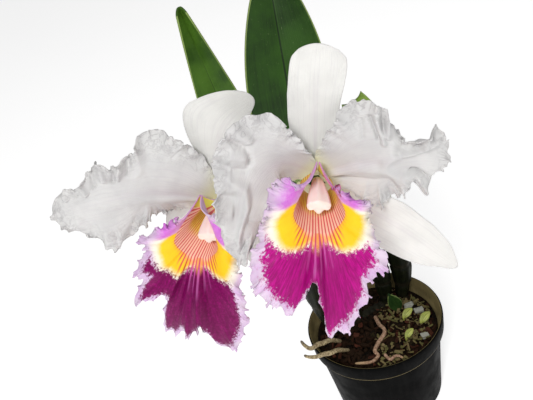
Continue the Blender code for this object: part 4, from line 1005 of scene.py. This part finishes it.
COMMON_LIP = dict(
    throat=0.42, shut=172.0, open=168.0, lobe=142.0, level=82.0, fullness=2.0,
    start=0.80, mouth=1.25, peak=0.30, pinch=0.85, near=0.65, deep=3.0, back=2.1, lobe_back=0.85,
    side_out=0.5, roll=0.3, waves=7.0, scallop=0.12, frill=0.30, rise=0.1, droop=0.15,
    frills=[(0.14, 23.0, 0.4, 3), (0.12, 47.0, 1.7, 5), (0.12, 95.0, 0.2, 7)])
FRONT_LIP = dict(
    COMMON_LIP, low_out=2.2, phase=0.6, lean=0.0, margin=[
        1.53, 1.85, 2.2, 2.46, 2.56, 2.63, 2.68, 2.66, 2.61, 2.43, 2.41, 2.43, 2.46, 2.51, 2.58,
        2.68, 2.81, 2.98, 3.18, 3.33, 3.48, 3.69, 4.04, 4.19, 4.39, 4.59, 4.76, 4.94, 5.09, 5.19,
        5.37, 5.49, 5.52, 3.43, 3.08, 3.01, 3.69, 5.92, 5.97, 5.94, 5.79, 5.64, 5.39, 5.09, 4.39,
        4.41, 4.36, 4.24, 4.19, 4.09, 3.79, 3.13, 2.96, 2.88, 2.68, 2.53, 2.46, 2.48, 2.46, 2.43,
        2.38, 2.33, 2.25, 2.15, 2.05, 1.7, 1.58, 1.48, 1.4, 1.33, 1.28, 1.23])
SIDE_LIP = dict(
    COMMON_LIP, low_out=2.6, phase=1.6, lean=-0.6, margin=[
        1.48, 1.5, 1.55, 1.63, 1.73, 1.83, 1.95, 2.1, 2.31, 2.51, 2.76, 2.91, 3.06, 3.23, 3.36,
        3.38, 3.23, 3.06, 3.53, 4.01, 4.34, 4.09, 3.84, 4.84, 5.74, 5.12, 4.56, 4.11, 4.09, 5.72,
        6.95, 6.95, 5.42, 5.59, 5.44, 4.56, 3.96, 4.66, 6.95, 6.95, 6.65, 6.27, 5.77, 5.19, 4.74,
        4.36, 3.96, 3.48, 3.21, 3.01, 2.83, 2.68, 2.56, 2.48, 2.38, 2.28, 2.2, 2.15, 2.13, 2.1,
        2.1, 2.1, 2.1, 2.1, 2.13, 2.15, 2.18, 2.23, 2.28, 2.36, 2.43, 2.53])

wine = Finish("lip_magenta", Roughness=0.55, Specular_IOR_Level=0.2, Subsurface_Weight=0.05,
              Subsurface_Radius=(0.002, 0.001, 0.001))
streak = wine.grain(wine.way((190.0, 7.0, 1.0)), 1.0, detail=5.0, harsh=0.7)
blotch = wine.grain(wine.place(), 620.0, detail=5.0, harsh=0.7)
cloud = wine.grain(wine.place(), 110.0, detail=3.0)
feather = wine.plus(wine.times(streak, 0.4), wine.times(blotch, 0.6))


def patched(under, over, name, low, high, ragged):
    """A colour over another in one of the lip's patches, its edge broken up by the feathering."""
    value = wine.plus(wine.value(name), wine.times(wine.plus(feather, -0.5), ragged))
    return wine.over(under, over, value, low, high)


lilac = wine.over((226, 208, 226), (214, 180, 218), cloud, 0.3, 0.7)
cream = wine.over((242, 236, 214), (246, 240, 226), cloud, 0.3, 0.7)
magenta = wine.over((146, 0, 100), (202, 2, 146), streak, 0.35, 0.68)
magenta = wine.over(magenta, (128, 0, 88), wine.value("depth_tint"), 0.2, 1.0, 0.45)
# Deep wine over the side bloom's lip: painted shade, darkening that lip all over.
painted_shade_share = wine.times(wine.value("painted_shade"), wine.grade(blotch, 0.25, 0.6, 0.5, 1.0))
magenta = wine.blend(painted_shade_share, magenta, (84, 0, 56))
peach = wine.over((248, 172, 92), (246, 200, 176), wine.value("veins"), 0.75, 1.0)
painted = patched(lilac, cream, "cream", -0.3, 0.3, 0.5)
for over, name, low, high, ragged in (
        (wine.blend(blotch, (222, 140, 222), (204, 92, 210)), "blush", -0.25, 0.35, 0.8),
        (magenta, "wine", -0.22, 0.20, 3.2),
        (wine.blend(cloud, (250, 196, 22), (252, 212, 40)), "yellow", -0.22, 0.22, 0.35),
        (peach, "flush", -0.2, 0.25, 0.4),
        ((230, 216, 92), "green_throat", -0.2, 0.3, 0.2),
        (wine.blend(cloud, (224, 168, 222), (212, 138, 212)), "rolled", -0.5, 0.5, 0.5)):
    painted = patched(painted, over, name, low, high, ragged)
vein_line = wine.add("TexWave", {"Vector": wine.way((1.0, 0.06, 1.0)), "Scale": 14.0, "Distortion": 1.6,
                                 "Detail": 2.0, "Detail Scale": 3.0}, out="Fac", bands_direction="X")
veined = wine.grade(wine.value("veins"), 0.0, 0.5, 0.0, 0.85)
throat_lines = wine.times(wine.grade(vein_line, 0.45, 0.80), veined)
line_colour = wine.over((212, 58, 72), (196, 60, 150), wine.value("wine"), -0.4, 0.3)
streaked = wine.grade(wine.value("streaks"), 0.0, 0.6, 0.0, 0.30)
pale_lines = wine.times(wine.grade(vein_line, 0.62, 0.95), streaked)
wine.colour(wine.blend(pale_lines, wine.blend(throat_lines, painted, line_colour), (236, 130, 214)))
wine.relief(wine.plus(wine.times(streak, 0.8), wine.times(blotch, 0.4)), 0.3, 0.0006)
wine.rough(wine.grade(blotch, 0.3, 0.7, 0.44, 0.62))
BLUSH_MIDDLE, TUBE_HEM = 0.40, 0.96


def lip_values(angle, outward, tube, reach, across, painted_shade):
    """Where the lip's colours lie, each above 0 inside its patch.

    They are worked out from the angle from straight down, the centimetres outward from the
    throat, the centimetres from there to the margin and the share of the way from edge to
    edge; the last argument is how much darker the whole lip is painted, as painted shade.
    """
    off, in_tube = np.abs(angle), tube < 1
    start = np.interp(off, [0, 12, 26, 38, 50, 60, 75], [0.12, 0.30, 0.70, 0.98, 1.20, 1.45, 1.70])
    hem = np.interp(off, [0, 6, 15], [0.0, 0.10, 0.72])
    eye = np.interp(off, [0, 12, 25, 38, 50, 75, 90, 104, 112],
                    [-0.4, 0.10, 0.58, 0.88, 1.05, 0.92, 0.75, 0.30, -0.5])
    flush = np.interp(off, [0, 20, 50, 100], [0.40, 0.32, 0.02, -0.1])
    veins = np.interp(off, [0, 15, 35, 55, 110], [0.8, 1.0, 0.9, 0.25, 0.15])
    wine_patch = np.minimum(np.minimum(reach - outward - hem, 1.3 * (outward - start)), (80 - off) / 22)
    blush = np.minimum(BLUSH_MIDDLE - np.abs(outward - BLUSH_MIDDLE),
                       np.minimum((off - 100) / 14, (134 - off) / 12))
    in_and_out = {
        "wine": (-1.0, wine_patch),
        "yellow": (-0.4, eye - outward),
        "cream": (0.3, np.minimum(eye + 0.45 - outward, (124 - off) / 24)),
        "blush": (-1.0, blush),
        "flush": (0.6 * (tube > 0.4), flush - outward),
        "green_throat": (np.maximum(0.55 - tube, (off - 138) / 20) * 2, -1.0),
        "rolled": ((np.abs(across) > TUBE_HEM) * 1.6 - 0.8, np.where(off > 104, 0.10 - outward, -1.0)),
        "veins": (1.0 * (off < 140), veins - outward)}
    values = {name: np.where(in_tube, inner, outer) for name, (inner, outer) in in_and_out.items()}
    values["streaks"] = np.minimum(1.5 - outward, (22 - off) / 26) * (outward > 0.3)
    values["depth_tint"] = np.clip((60 - off) / 60, 0, 1)
    values["painted_shade"] = painted_shade
    return values


LIP_ROWS, LIP_COLUMNS = 130, 300
along, across = np.meshgrid(np.linspace(0, 1, LIP_ROWS) ** 0.85, np.linspace(-1, 1, LIP_COLUMNS),
                            indexing="ij")
# The side lip is painted darker than the front one, as painted shade.
for prefix, stance, lip, painted_shade in (("front", FRONT, FRONT_LIP, 0.0), ("side", SIDE, SIDE_LIP, 0.75)):
    places, angle, outward, tube, reach = lip_places(lip, along, across)
    piece = grid_piece(f"{prefix}_lip_skirt", stance.world(places), wine, wall=PETAL_WALL,
                       values=lip_values(angle, outward, tube, reach, across, painted_shade))
    fitted(piece, f"{prefix}_lip")

# Columns: the waxy cream rod in each throat that carries the pollen, narrow at its foot,
# broad at its cap, with three teeth below.

wax = Finish("column_cream", Roughness=0.38, Subsurface_Weight=0.2,
             Subsurface_Radius=(0.003, 0.002, 0.0015))
ivory = wax.blend(wax.grain(wax.place(), 300.0, detail=3.0), (240, 216, 204), (248, 232, 222))
wax.colour(wax.over(ivory, (214, 214, 140), wax.value("along"), 0.25, 0.0, 0.8))
wax.relief(wax.grain(wax.place(), 900.0), 0.15, 0.0004)
COLUMN_SPINE = [(0.0, 0.35, 0.75), (0.0, 0.42, 1.4), (0.0, 0.20, 2.1), (0.0, 0.0, 2.65)]
COLUMN_HALF_WIDTH = [0.22, 0.34, 0.52, 0.60]
COLUMN_HALF_HEIGHT = [0.22, 0.26, 0.32, 0.26]


def column_places(rows, columns):
    """Centimetre places on a column: an oval tube, w cos u across and h sin u up.

    Both ends are domed, and three teeth, |cos 3v| of the direction v, stand out of the
    lower half of its cap.
    """
    centre = through(COLUMN_SPINE, rows)
    half = np.concatenate([through(COLUMN_HALF_WIDTH, rows), through(COLUMN_HALF_HEIGHT, rows)], axis=1)
    ends = np.linspace(0, 1, rows)[:, None]
    dome = np.sqrt(np.clip(1 - np.clip(1 - ends * 12, 0, 1) ** 2, 0, 1))
    dome = dome * np.clip(1 - np.clip((ends - 0.93) / 0.07, 0, 1) ** 2, 0, 1) ** 0.5
    turn = np.linspace(0, 2 * np.pi, columns, endpoint=False)[None, :]
    cap = np.clip((ends - 0.72) / 0.28, 0, 1)
    lower = np.clip(-np.sin(turn), 0, 1)
    teeth = cap * lower * np.abs(np.cos(3 * (turn + np.pi / 2)))
    groove = 1 - 0.10 * np.cos(6 * turn) * np.clip(ends * 3, 0, 1)
    sideways = half[:, :1] * dome * np.cos(turn) * (1 + 0.06 * teeth)
    upward = half[:, 1:] * dome * np.sin(turn) * groove * (1 + 0.55 * teeth)
    outward = 0.10 * teeth * dome
    return centre[:, None] + np.stack([sideways, upward, outward], axis=-1)


COLUMN_ROWS = 80
rod_values = {"along": np.linspace(0, 1, COLUMN_ROWS)[:, None]}
for prefix, stance in (("front", FRONT), ("side", SIDE)):
    places = stance.world(column_places(COLUMN_ROWS, 72))
    rod = grid_piece(f"{prefix}_column_rod", places, wax, closed=True, values=rod_values)
    fitted(rod, f"{prefix}_column")
